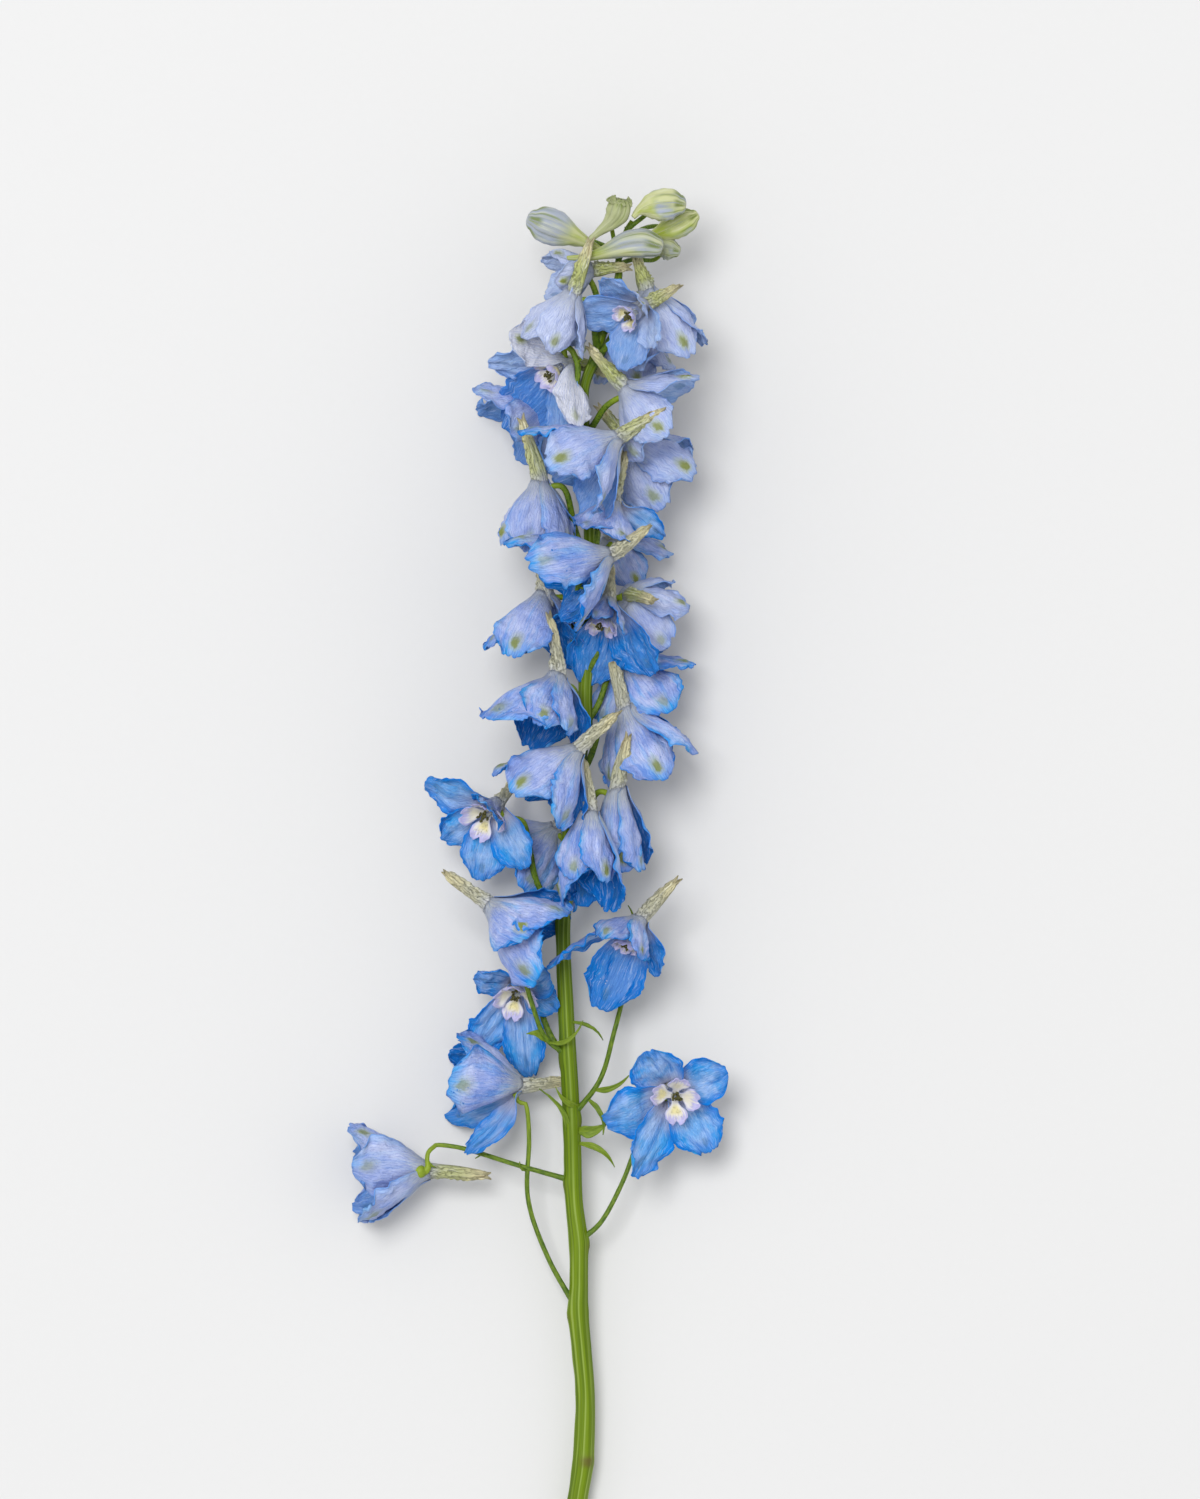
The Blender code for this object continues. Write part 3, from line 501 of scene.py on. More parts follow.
# Florets. neck, belly side and routes: x, y and depth over the stem's middle; face, spur and belly: plan
# angle and tilt in degrees (spur: its length too); root: where the stalk leaves the stem; age: from 0,
# whitish, to 1, clear blue; size: usual sepal length; open: usual lean of the sepals from the face; roll: how
# far all five are turned round the face; bell: how much they arch, if not as usual; knob: how much a stalk
# swells at its upper end; hook: the last places of a stalk that comes over the near side of the neck.
# changed: what the photo shows of single sepals: share of the usual length, lean, share of the usual width,
# age, turn round the face and twist round their own middle line. eased: swing round the face, change of lean
# and share of the length for a sepal that would meet its neighbour, as the search in part.py found them.
florets = {
    "floret_01": dict(neck=(16, 210.5, 3.6), face=(190, 8), spur=(5, 2, 14), root=196, age=0.12, size=18,
        open=30, changed={0: dict(length=0.7, lean=20), 1: dict(length=0.85, lean=24), 2: dict(lean=40),
        3: dict(length=1.05, lean=40), 4: dict(length=0.75, lean=26)}, eased={3: (8, 0, 1.0),
        4: (-8, 0, 1.0)}),
    "floret_02": dict(neck=(11.5, 200.5, 13), face=(-116, -14), spur=(72, 3, 20), root=186, age=0.15,
        size=19, open=22),
    "floret_03": dict(neck=(33.5, 197.5, 15), face=(-147, 46), spur=(30, -10, 15), root=180, age=0.38,
        bee=True, size=20, open=62, changed={0: dict(length=0.62, lean=34, age=0.2), 1: dict(length=0.8),
        2: dict(length=0.95), 3: dict(length=0.9), 4: dict(length=0.74, lean=50, age=0.25)}),
    "floret_04": dict(neck=(37, 202.5, 2), face=(-73, -10), spur=(108, -8, 14), root=190, age=0.3, size=26,
        open=24),
    "floret_05": dict(neck=(9, 180, 1), face=(-141, 28), spur=(-10, -34, 18), root=158, age=0.3, bee=True,
        belly=(90, 30), size=25, open=58, route=((12.9, 168, 3.5), (13.9, 178, 5), (12, 184, 4.5)),
        roll=-48, changed={0: dict(length=1.22, lean=66, width=0.9, age=0.5, turn=14),
        1: dict(length=0.9, lean=52, width=0.9, age=0.4),
        2: dict(lean=45, width=0.7, age=0.02, turn=-17, twist=-66),
        3: dict(length=0.98, lean=50, width=0.8, age=0.02, turn=27, twist=58),
        4: dict(length=0.95, lean=46, width=0.8, age=0.3, turn=30)}, eased={2: (-8, 0, 1.0)}),
    "floret_06": dict(neck=(1, 165, -19.5), face=(-140, 5), spur=(30, -30, 17), root=146, age=0.42,
        bee=True, size=22, open=52),
    "floret_07": dict(neck=(31, 170.5, 9), face=(-38, -4), spur=(132, 4, 19.5), root=156, age=0.3, bee=True,
        size=23, open=46, eased={1: (8, -7, 1.0)}),
    "floret_08": dict(neck=(24.5, 154, 20), face=(-141, 5), spur=(31, 3, 20), root=130, age=0.42, bee=True,
        size=27, open=38, changed={0: dict(width=0.9), 1: dict(length=1.12, lean=44, width=0.8, age=0.8),
        4: dict(width=0.85)}),
    "floret_09": dict(neck=(30.5, 155, -6), face=(-48, -22), spur=(132, 0, 14), root=136, age=0.36,
        bee=True, size=25, open=34, eased={1: (16, -7, 1.0)}),
    "floret_10": dict(neck=(2, 138.5, 8), face=(-95, -12), spur=(106, 0, 23.5), root=116, age=0.42,
        bee=True, size=23, open=24),
    "floret_11": dict(neck=(25, 132.5, 13), face=(-98, -6), spur=(77, -8, 18), root=112, age=0.5, size=20,
        open=62, changed={0: dict(length=0.84, lean=34, width=1.8, turn=8),
        1: dict(length=0.66, lean=58, width=1.4, age=0.6), 2: dict(length=0.6, lean=44, width=1.1, age=0.9),
        3: dict(length=0.6, lean=44, width=1.1, age=0.9),
        4: dict(length=1.08, lean=72, width=0.66, age=0.9, turn=10, twist=56)}, eased={0: (0, 0, 0.8),
        4: (-16, 0, 0.8)}),
    "floret_12": dict(neck=(22, 115.5, 22), face=(-158, 10), spur=(35, 0, 18), root=92, age=0.62, bee=True,
        belly=(-90, -70), size=28, open=36, route=((13.8, 100, 8), (15, 109, 15)), roll=2,
        changed={0: dict(length=1.2, lean=34, width=0.74, age=0.75), 1: dict(length=1.2, lean=24, age=0.8),
        2: dict(length=0.88, lean=42, age=0.8), 3: dict(length=0.88, lean=40, age=0.8),
        4: dict(length=0.95, lean=46, width=0.9)}, eased={2: (8, 0, 1.0)}),
    "floret_13": dict(neck=(26, 122, -14), face=(-60, -38), spur=(120, 14, 16), root=104, age=0.5, size=19,
        open=45, eased={2: (0, 0, 0.9)}),
    "floret_14": dict(neck=(3.5, 102.5, 4), face=(-102, 0), spur=(104, -15, 16), root=80, age=0.62,
        bee=True, size=25, open=30, eased={3: (-16, 0, 0.7), 4: (16, 0, 1.0)}),
    "floret_15": dict(neck=(23.5, 99.5, 10), face=(-107, 30), spur=(88, -14, 16), root=78, age=0.6,
        bee=True, size=25, open=58, roll=22, changed={0: dict(length=0.72, lean=26, width=0.8),
        2: dict(age=0.8), 3: dict(age=0.8), 4: dict(length=0.62, lean=26, width=0.8)},
        eased={0: (-16, 0, 0.9), 1: (0, 0, 0.7), 2: (8, -7, 1.0)}),
    "floret_16": dict(neck=(31, 103.5, 3), face=(-45, -40), spur=(-12, 65, 17), root=90, age=0.35, size=20,
        open=34),
    "floret_17": dict(neck=(30, 82, -7), face=(-60, -24), spur=(110, -16, 18), root=62, age=0.8, bee=True,
        size=22, open=55, roll=-25, changed={1: dict(length=0.9),
        2: dict(length=1.5, lean=50, width=1.25, age=0.9), 3: dict(length=0.95)}, eased={2: (0, 0, 0.7)}),
    "floret_18": dict(neck=(7.5, 74.5, 14), face=(-115, 14), spur=(98, 0, 22), root=52, age=0.62, bee=True,
        size=28, open=38, roll=-10, changed={0: dict(length=0.8, lean=26, width=1.1, turn=-34),
        1: dict(length=1.05, lean=32, width=1.35, turn=-50), 2: dict(length=0.9, lean=25),
        4: dict(length=0.74, lean=30, width=1.1, turn=-8)}, eased={3: (-8, 0, 0.7)}),
    "floret_19": dict(neck=(30, 64.5, 3), face=(-65, -15), spur=(104, 0, 21), root=44, age=0.6, bee=True,
        size=25, open=34, roll=18, eased={2: (8, 0, 1.0)}),
    "floret_20": dict(neck=(11.5, 51, 20), face=(-130, 0), spur=(42, 5, 20), root=34, age=0.62, bee=True,
        belly=(-90, -80), size=26, open=28, route=((8.8, 41, 6), (8.6, 47, 12)), roll=18),
    "floret_21": dict(neck=(-14, 33.5, 5), face=(-135, 50), spur=(50, -60, 20), root=-4, age=0.9, bee=True,
        size=21, open=80, route=((0.7, 8.3, 4), (-2, 19.8, 6), (-4.2, 29, 5)),
        changed={0: dict(width=1.05, turn=28), 1: dict(length=0.85, width=1.05, turn=18),
        2: dict(length=1.08, width=0.9, turn=-6), 3: dict(turn=-30),
        4: dict(length=0.95, lean=18, width=0.95, age=0.7)}),
    "floret_22": dict(neck=(26.5, 37.5, 10), face=(-85, -10), spur=(79, 14, 20), root=12, age=0.55, size=30,
        open=8, bell=34, changed={0: dict(length=0.92, width=1.1), 1: dict(length=0.9, width=1.15),
        2: dict(length=0.9), 3: dict(length=0.88), 4: dict(length=0.92, width=1.15)},
        eased={1: (0, -7, 1.0), 2: (0, -7, 1.0)}),
    "floret_23": dict(neck=(18, 29.5, 18.5), face=(-93, 6), spur=(97, -12, 20.5), root=4, age=0.65,
        bee=True, size=31, open=10, roll=-29, changed={0: dict(length=0.72, width=0.95),
        1: dict(length=0.72, width=0.95)}),
    "floret_24": dict(neck=(6, 25, -11), face=(-127, -18), spur=(60, -4, 17), root=2, age=0.9, size=24,
        open=50),
    "floret_25": dict(neck=(-13, 0.5, 14), face=(-35, 8), spur=(145, 5, 20), root=-48, age=0.65, bee=True,
        belly=(-110, -60), size=27, open=38, route=((3, -42, 3.5), (-1, -32, 8), (-4.6, -20, 7.5),
        (-8.6, -9, 4)), roll=30, changed={0: dict(length=0.8, lean=42, width=1.25, age=0.6),
        1: dict(length=1.1, lean=18, width=1.25, age=0.88, turn=-26),
        4: dict(length=1.1, lean=28, width=1.25, age=0.88, turn=20)}, eased={2: (0, -7, 1.0),
        3: (-8, 0, 1.0), 4: (0, 0, 0.9)}),
    "floret_26": dict(neck=(32.5, -5.5, 10), face=(-117, 24), spur=(48, 0, 20), root=-68.6, age=0.8,
        bee=True, belly=(-40, -50), size=28, open=42, route=((21.1, -56.1, 2), (26.0, -39.6, -4),
        (31.5, -18.0, -8), (34.0, -9.5, -4)), changed={0: dict(length=0.62, lean=34, age=0.7),
        1: dict(length=1.1, lean=34, width=0.55, age=0.9),
        2: dict(length=1.08, lean=34, width=0.84, age=0.8), 3: dict(length=0.58, width=0.9),
        4: dict(length=0.66, lean=28)}),
    "floret_27": dict(neck=(-5.5, -25.5, -3), face=(-110, 55), spur=(95, -40, 19), root=-49, age=0.85,
        bee=True, size=21, open=76, changed={0: dict(length=0.62, lean=70, width=1.3, turn=22),
        1: dict(length=1.16, lean=80, width=0.72, turn=36), 2: dict(length=1.42, lean=84, width=0.6),
        3: dict(length=0.58, lean=70, width=1.2), 4: dict(length=1.3, lean=66, width=1.1)},
        eased={4: (-16, 0, 0.6)}),
    "floret_28": dict(neck=(-7.5, -58, -1), face=(174, 5), spur=(5, -20, 18), root=-132.6, age=0.7,
        bee=True, belly=(-80, 5), size=26, open=40, route=((4, -115, 0), (-2.6, -95.7, 0), (-2.3, -75.9, 1),
        (-3.2, -64.6, 1)), roll=-20, changed={0: dict(lean=27), 1: dict(lean=27),
        2: dict(length=1.02, lean=44, width=0.55, age=0.85),
        3: dict(length=1.04, lean=70, width=0.44, age=0.85, twist=62),
        4: dict(lean=25, width=1.3, age=0.8, turn=-8)}),
    "floret_29": dict(neck=(-38.5, -86, 1), face=(184, 0), spur=(-4, 0, 22), root=-89.5, age=0.42, bee=True,
        belly=(88, 0), size=27, open=30, route=((-7, -84, 1), (-23.4, -78.9, 2), (-32, -77.6, 2)), knob=0.9,
        hook=((-33.8, -78.3, 2.8), (-35.6, -80.2, 3.8), (-35.9, -82.8, 4.6), (-35.6, -85.0, 5.0),
        (-36.9, -86.3, 4.8)), roll=30),
    "floret_30": dict(neck=(45.4, -60.5, 3), face=(-60, 75), spur=(135, -42, 19), root=-109.5, age=0.95,
        bee=True, belly=(-142, -10), size=20.5, open=86, route=((21.5, -103, 1), (28.5, -90, 0),
        (34, -76, -3)), changed={0: dict(length=0.85, width=1.15, turn=-12),
        1: dict(length=0.81, width=1.45, turn=14), 2: dict(length=1.11, turn=11),
        3: dict(length=1.49, width=0.62, turn=-14), 4: dict(length=0.92, width=1.15, turn=-26)}),
    "floret_31": dict(neck=(30.4, 191.4, -14), face=(-80, -26), spur=(100, 14, 14), root=176, age=0.25,
        size=20, open=34),
}

# Sepals, in mm and degrees. aspect: half width by length; bell and flat: how an upright and an open
# flower's sepals arch; the reliefs are ruffle, crinkle, billow, groove and dimple; ragged and notch: the rim
petalForm = dict(
    rows=30, columns=25, steps=48, thickness=0.24, widest=1.15, reach=0.88, blunt=0.60, aspect=0.41, lap=1.75,
    turned=12, bell=44, flat=46, sway=5, curl=(-20, 16), tipPull=0.15, notch=0.022, ragged=0.04, ruffle=1.15,
    crinkle=0.22, billow=0.40, groove=0.20, dimple=0.45, spacing=0.86, table=0.22, roof=73.5)


def floretAxes(row):
    neck, face, spur = toPlace(*row["neck"]), heading(*row["face"]), heading(*row["spur"][:2])
    root = stemAt(row["root"])
    belly = heading(*row["belly"]) if "belly" in row else unit(root - neck) - 0.6 * spur
    return neck, face, spur, across(belly, face)


def awayFrom(face, belly, angle):
    # straight out from the flower's axis, at an angle in degrees round it
    turn = math.radians(angle)
    return math.cos(turn) * np.cross(-belly, face) - math.sin(turn) * belly


def neckWidth(row):
    return 3.05 * (0.8 + 0.2 * row["size"] / 24)


def aboveTable(grid, low, ease=0.5):
    # a point that would sink eases to just above the table instead
    grid = grid.copy()
    z = grid[..., 2]
    grid[..., 2] = np.where(z < low + ease, low + ease * np.exp(np.minimum(z - low - ease, 0) / ease), z)
    return grid


def belowRoof(grid, high):
    # the same from above, so that the raised sepals keep the object's real height
    grid = grid.copy()
    grid[..., 2] = high - aboveTable(high - grid, 0.0)[..., 2]
    return grid


def spurRoute(row, axes, t):
    neck, face, spur, _ = axes
    t = t[:, None]
    end = neck + row["spur"][2] * spur
    return (1 - t) ** 2 * (neck + 1.9 * face) + 2 * t * (1 - t) * (neck - 4.0 * face) + t**2 * end


def sepalPlan(row, number):
    # how the five sepals stand round the face, by the seeded rule that part.py has
    draw = random.Random(number)
    plan = []
    for k in range(5):
        swing, bend, share = row.get("eased", {}).get(k, (0, 0, 1.0))
        change = row.get("changed", {}).get(k, {})
        angle = round((90 + 72 * k + draw.uniform(-4, 4) + swing) % 360, 1)
        length = round(row["size"] * draw.uniform(0.94, 1.04) * share, 1)
        lean = round(row["open"] + draw.uniform(-7, 7), 1) + bend
        draw.uniform(-3, 3)  # part.py's own twist, which only the CAD has
        angle = (round(angle) + row.get("roll", 0) + change.get("turn", 0)) % 360
        length = round(length * change.get("length", 1.0), 1)
        plan.append((angle, length, change.get("lean", round(lean)), change.get("width", 1.0),
                     change.get("age"), change.get("twist", 0)))
    return plan


def petalSheet(row, axes, width, number, k, angle, length, lean, broad, age, twist):
    # a sepal: leaves the neck close to it, leans out and curls at its tip, its rims cupped and ruffled
    form = petalForm
    neck, face, _, belly = axes
    draw = random.Random(number * 10 + k)
    out = awayFrom(face, belly, angle)
    curl = math.radians(draw.uniform(*form["curl"]))
    sway = math.radians(draw.uniform(-form["sway"], form["sway"]))
    steps = form["steps"]
    share = (np.arange(steps) + 0.5) / steps
    mean = 0.44 * min(12 + 0.5 * row["open"], 42) + 0.56 * lean
    spreading = float(ramp(row["open"], 44, 78))  # 0 for a bell, 1 for a flower that lies open
    bell = row.get("bell", form["bell"] * (1 - spreading) - form["flat"] * spreading)
    slant = np.radians(mean + bell * (0.5 - share) * (1 - 0.35 * share)) + curl * ramp(share, 0.66, 1.0)
    slant = slant * ramp(share, -0.13, 0.17 - 0.08 * spreading)
    spine = np.vstack((neck - 3.0 * face + (0.85 * width + 0.10) * out, np.zeros((steps, 3))))
    stride = (length + 2.4) / steps
    bend = spurRoute(row, axes, np.array((0.34,)))[0] - (neck - 3.0 * face)  # its root follows the spur's bend
    for n in range(steps):
        spine[n + 1] = spine[n] + stride * (math.cos(slant[n]) * face + math.sin(slant[n]) * out)
    knots = np.linspace(0, 1, steps + 1)
    slants = np.interp(knots, share, slant)

    s = np.linspace(0, 1, form["rows"]) ** 0.92
    v = np.sin(np.linspace(-1, 1, form["columns"]) * math.pi / 2 * form["spacing"])  # closer toward the rims
    v = v / math.sin(math.pi / 2 * form["spacing"])
    S, V = np.meshgrid(s, v, indexing="ij")
    notch = form["notch"] * unevenness(V * 2.2, S * 0.4, number * 7 + k)
    T = np.clip(S * (1 - (form["tipPull"] * np.abs(V) ** 2.3 - notch) * S**3), 0, 1)
    at = np.stack([np.interp(T, knots, spine[:, i]) for i in range(3)], -1)
    angles = np.interp(T, knots, slants)[..., None]
    tangent = np.cos(angles) * face + np.sin(angles) * out
    outward = np.cos(angles) * out - np.sin(angles) * face
    turn = math.radians(form["turned"]) + math.radians(twist) * ramp(S, 0.05, 0.4) + sway * S * 2.2
    turn = turn[..., None]
    side = np.cos(turn) * np.cross(tangent, outward) + np.sin(turn) * outward
    outward = np.cross(side, tangent)

    half = form["aspect"] * broad * length * np.sin(math.pi * form["reach"] * s ** form["widest"]) ** form["blunt"]
    half = half + (1 - s) ** 3 * width * 0.66
    radial = np.einsum("ij,j->i", at[:, form["columns"] // 2] - neck, out)
    half = np.minimum(half, form["lap"] * radial * math.tan(math.pi / 5))[:, None]
    ragged = unevenness(S * length / 3.4 + 9 * np.sign(V), 0.2 * S, number * 3 + k, 6)
    half = half * (1 + form["ragged"] * ragged * ramp(S, 0.2, 0.5))
    flatness = (0.15 + 0.5 * draw.random()) * (1 - spreading) + 2.6 * spreading
    bowl = radial[:, None] * (1.0 + flatness * S**2)
    swing = half * V / bowl
    away = -bowl * (1 - np.cos(swing))
    seed = number * 31 + k * 5
    waves = unevenness(S * length / 7.5 + 3 * np.sign(V), V * 0.35, seed, 6, 0.7, 1.25)
    away = away + form["ruffle"] * length / 25 * waves * np.abs(V) ** 2.6 * ramp(S, 0.25, 0.7)
    away = away + form["billow"] * unevenness(S * 1.7, V * 1.3, seed + 1, 5) * ramp(S, 0.2, 0.5)
    away = away + form["crinkle"] * unevenness(V * half / 2.6, S * length / 8, seed + 2, 9) * ramp(S, 0.1, 0.4)
    away = away + form["crinkle"] * unevenness(V * half / 2.2, S * length / 3.2, seed + 3, 9) * ramp(S, 0.3, 0.7)
    away = away - form["groove"] * np.exp(-(V / 0.10) ** 2) * ramp(S, 0.2, 0.4) * (1 - ramp(S, 0.62, 0.8))
    away = away + form["dimple"] * np.exp(-(V / 0.20) ** 2 - ((S - 0.83) / 0.09) ** 2)
    grid = at + (bowl * np.sin(swing))[..., None] * side + away[..., None] * outward
    grid = grid + (1 - ramp(T, 0.0, 0.16))[..., None] * bend
    grid = belowRoof(aboveTable(grid, form["table"]), form["roof"])
    uv = np.stack((0.5 + 0.5 * V, T), -1)
    seedShare = (number * 0.137 + k * 0.311) % 1.0
    return thinSheet(grid, uv, form["thickness"], row["age"] if age is None else age, seedShare, 0)


# Spurs. ridge, wrinkle and crease: reliefs as shares of the radius; the radii run from foot to tip in mm,
# those of the throat's cup as shares of the neck's
spurForm = dict(
    rings=56, sides=34, end=1.45, sway=0.55, ridge=0.10, wrinkle=0.12, crease=0.09, table=0.06, hornSides=10,
    horn=(0.76, 0.84, 0.80, 0.72, 0.62, 0.52, 0.42, 0.32, 0.15), cup=(0.34, 0.55, 0.70, 0.80, 0.88, 0.94, 0.985))


def spurSheets(row, axes, width, number):
    # the neck and spur: wrinkled lengthwise, ending in two short blunt horns, with the throat's cup inside
    form = spurForm
    neck, face, spur, belly = axes
    draw = random.Random(number + 500)
    t = np.linspace(0, 1, form["rings"])
    path = spurRoute(row, axes, t)
    bendSide = across(up, spur)
    bow = form["sway"] * np.sin(2.2 * math.pi * t + draw.uniform(0, 6)) * ramp(t, 0.2, 0.8)
    path = path + bow[:, None] * bendSide
    radii = form["end"] + (width - form["end"]) * (1 - t) ** 0.85
    radii = radii * (1 + 0.08 * np.sin(9 * t + draw.uniform(0, 6)) * ramp(t, 0.25, 0.6))
    radii[-3:] *= np.array((0.94, 0.84, 0.62))
    lean = draw.uniform(-2, 2)

    def folds(turn, t):
        ridges = form["ridge"] * np.cos(5 * turn + lean * t * 3 + draw.random()) * ramp(t, 0.18, 0.55)
        wrinkles = form["wrinkle"] * unevenness(turn * 0.95, t * 4.2, number + 900, 9) * ramp(t, 0.12, 0.5)
        creases = form["crease"] * unevenness(turn * 2.1, t * 11, number + 950, 9) * ramp(t, 0.15, 0.5)
        return ridges + wrinkles * np.sin(turn / 2) ** 2 * 1.4 + creases * np.sin(turn / 2) ** 2 * 1.5

    grid = aboveTable(tubeGrid(path, radii, form["sides"], belly, folds), form["table"])
    sheets = [tubeSheet(grid, (0.0, row["age"], number * 0.173 % 1), 1, capStart=False)]
    along = unit(path[-1] - path[-3])
    fork = across(belly, along)
    for way in (-1, 1):
        lift = draw.uniform(0.2, 0.9)
        start = path[-1] - 1.0 * along + way * 0.45 * fork
        end = path[-1] + draw.uniform(1.4, 2.6) * along + way * (0.6 + lift) * fork
        horn = bezier((start, start + 1.4 * along, end), len(form["horn"]))
        hornGrid = tubeGrid(horn, form["horn"], form["hornSides"], belly,
                            lambda turn, t: 0.12 * np.cos(3 * turn + 5 * t))
        sheet = tubeSheet(aboveTable(hornGrid, form["table"]), (0.35, row["age"], 0.4 + 0.3 * way), 1)
        sheet["uv"][:, 1] = 0.90 + 0.1 * sheet["uv"][:, 1]
        sheets.append(sheet)
    cup = bezier((neck - 0.9 * face, neck + 0.4 * face, neck + 1.9 * face), len(form["cup"]))
    cupGrid = tubeGrid(cup, np.array(form["cup"]) * width, form["sides"], belly)
    sheet = tubeSheet(cupGrid[:, ::-1], (1.0, 0.2, 0.5), 0, capEnd=False)
    sheet["uv"][:, 1] *= 0.05
    sheets.append(sheet)
    return sheets


# Bees. petals: angle round the face, how far it leans as the flower opens, length, and whether it bears a
# beard; seat: how far the bee sits in front of the neck's middle; the radii run from foot to tip in mm
beeForm = dict(
    petals=((47, 0.35, 10.0, 0), (132, 0.37, 9.7, 0), (-39, 0.55, 9.0, 1), (217, 0.53, 9.2, 1)),
    halfWidth=3.3, thickness=0.2, rows=17, columns=13, seat=1.82, hairs=24, hair=(0.085, 0.075, 0.06, 0.02),
    stamens=13, turn=2.39996, filament=(0.20, 0.13), pod=(0.16, 0.36, 0.44, 0.43, 0.34, 0.12), podWidth=1.25)


def throatPetal(seat, face, belly, size, number, k, opened):
    # two lobes and a notch at its end, narrow where it starts; the lower two bear a yellow beard
    angle, spread, length, lower = beeForm["petals"][k]
    lean = math.radians(10 + spread * opened)
    out = awayFrom(face, belly, angle)
    along = math.cos(lean) * face + math.sin(lean) * out
    side = np.cross(face, out)
    outward = np.cross(side, along)
    if np.dot(outward, out) < 0:
        outward = -outward
    S, V = np.meshgrid(np.linspace(0, 1, beeForm["rows"]), np.linspace(-1, 1, beeForm["columns"]), indexing="ij")
    seed = number * 13 + k
    T = S * (1 - 0.20 * np.exp(-(V / 0.24) ** 2) * S**3 - 0.16 * np.abs(V) ** 3 * S**2)
    T = T + 0.02 * unevenness(V * 2.5, S, seed) * S**2
    closed = 1 - float(ramp(opened, 50, 80))
    broad = beeForm["halfWidth"] * size * (1 - 0.16 * closed)
    length = length * (1 - 0.34 * closed)
    half = broad * (0.30 + 0.75 * ramp(S, 0.12, 0.62) - 0.22 * ramp(S, 0.8, 1.0))
    depth = 0.34 * half * V**2 - 0.9 * size * np.sin(math.pi * np.minimum(T * 1.1, 1)) * 0.6
    depth = depth - 0.30 * size * unevenness(S * 2.4, V * 1.9, seed + 3) * (0.3 + np.abs(V)) * ramp(S, 0.2, 0.6)
    start = seat + (1.0 * face + 0.9 * out) * size
    middle = start + (T * length * size)[..., None] * along
    grid = middle + (half * V)[..., None] * side - depth[..., None] * outward
    grid = aboveTable(grid, 0.2)
    uv = np.stack((0.5 + 0.5 * V, T), -1)
    sheets = [thinSheet(grid, uv, beeForm["thickness"], float(lower), seed * 0.37 % 1, 0)]
    if lower:
        draw = random.Random(seed)
        for _ in range(beeForm["hairs"]):
            i, j = draw.randint(5, 12), draw.randint(3, 9)
            foot = grid[i, j]
            lean = np.array([draw.uniform(-0.5, 0.5) for _ in range(3)])
            tip = foot + size * draw.uniform(1.0, 1.9) * unit(-outward + 0.5 * along + lean)
            hair = aboveTable(bezier((foot, (foot + tip) / 2 + 0.15 * lean, tip), 4), 0.2)
            sheets.append(tubeSheet(tubeGrid(hair, beeForm["hair"], 3), (0, 0, draw.random()), 1))
    return sheets


def stamenSheets(seat, face, belly, size, number):
    draw = random.Random(number + 77)
    sheets = []
    for n in range(beeForm["stamens"]):
        turn = n * beeForm["turn"]  # the golden angle spreads them evenly
        out = math.cos(turn) * np.cross(belly, face) + math.sin(turn) * belly
        radius = 1.35 * size * math.sqrt((n + 0.5) / beeForm["stamens"])
        foot = seat - 0.6 * face + radius * out
        reach = size * draw.uniform(3.4, 5.6)
        tip = seat + reach * face + (radius * 0.9 + draw.uniform(-0.5, 0.7)) * out - draw.uniform(0, 0.9) * belly
        path = aboveTable(bezier((foot, seat + 0.6 * reach * face + radius * 1.3 * out, tip), 7), 0.3)
        radii = np.linspace(*beeForm["filament"], 7)
        sheets.append(tubeSheet(tubeGrid(path, radii, 5), (0, 0, draw.random()), 2))
        way = unit(face + np.array([draw.uniform(-0.8, 0.8) for _ in range(3)]))
        half = draw.uniform(0.66, 0.88)
        podPath = np.linspace(0, 1, 6)[:, None] * way * 2 * half + path[-1] - half * way
        pod = tubeGrid(podPath, np.array(beeForm["pod"]) * beeForm["podWidth"], 7, None,
                       lambda turn, t: 0.16 * np.cos(2 * turn) + 0.05 * np.cos(5 * turn + t))
        sheets.append(tubeSheet(aboveTable(pod, 0.08), (0, 0, draw.random()), 3))
    return sheets


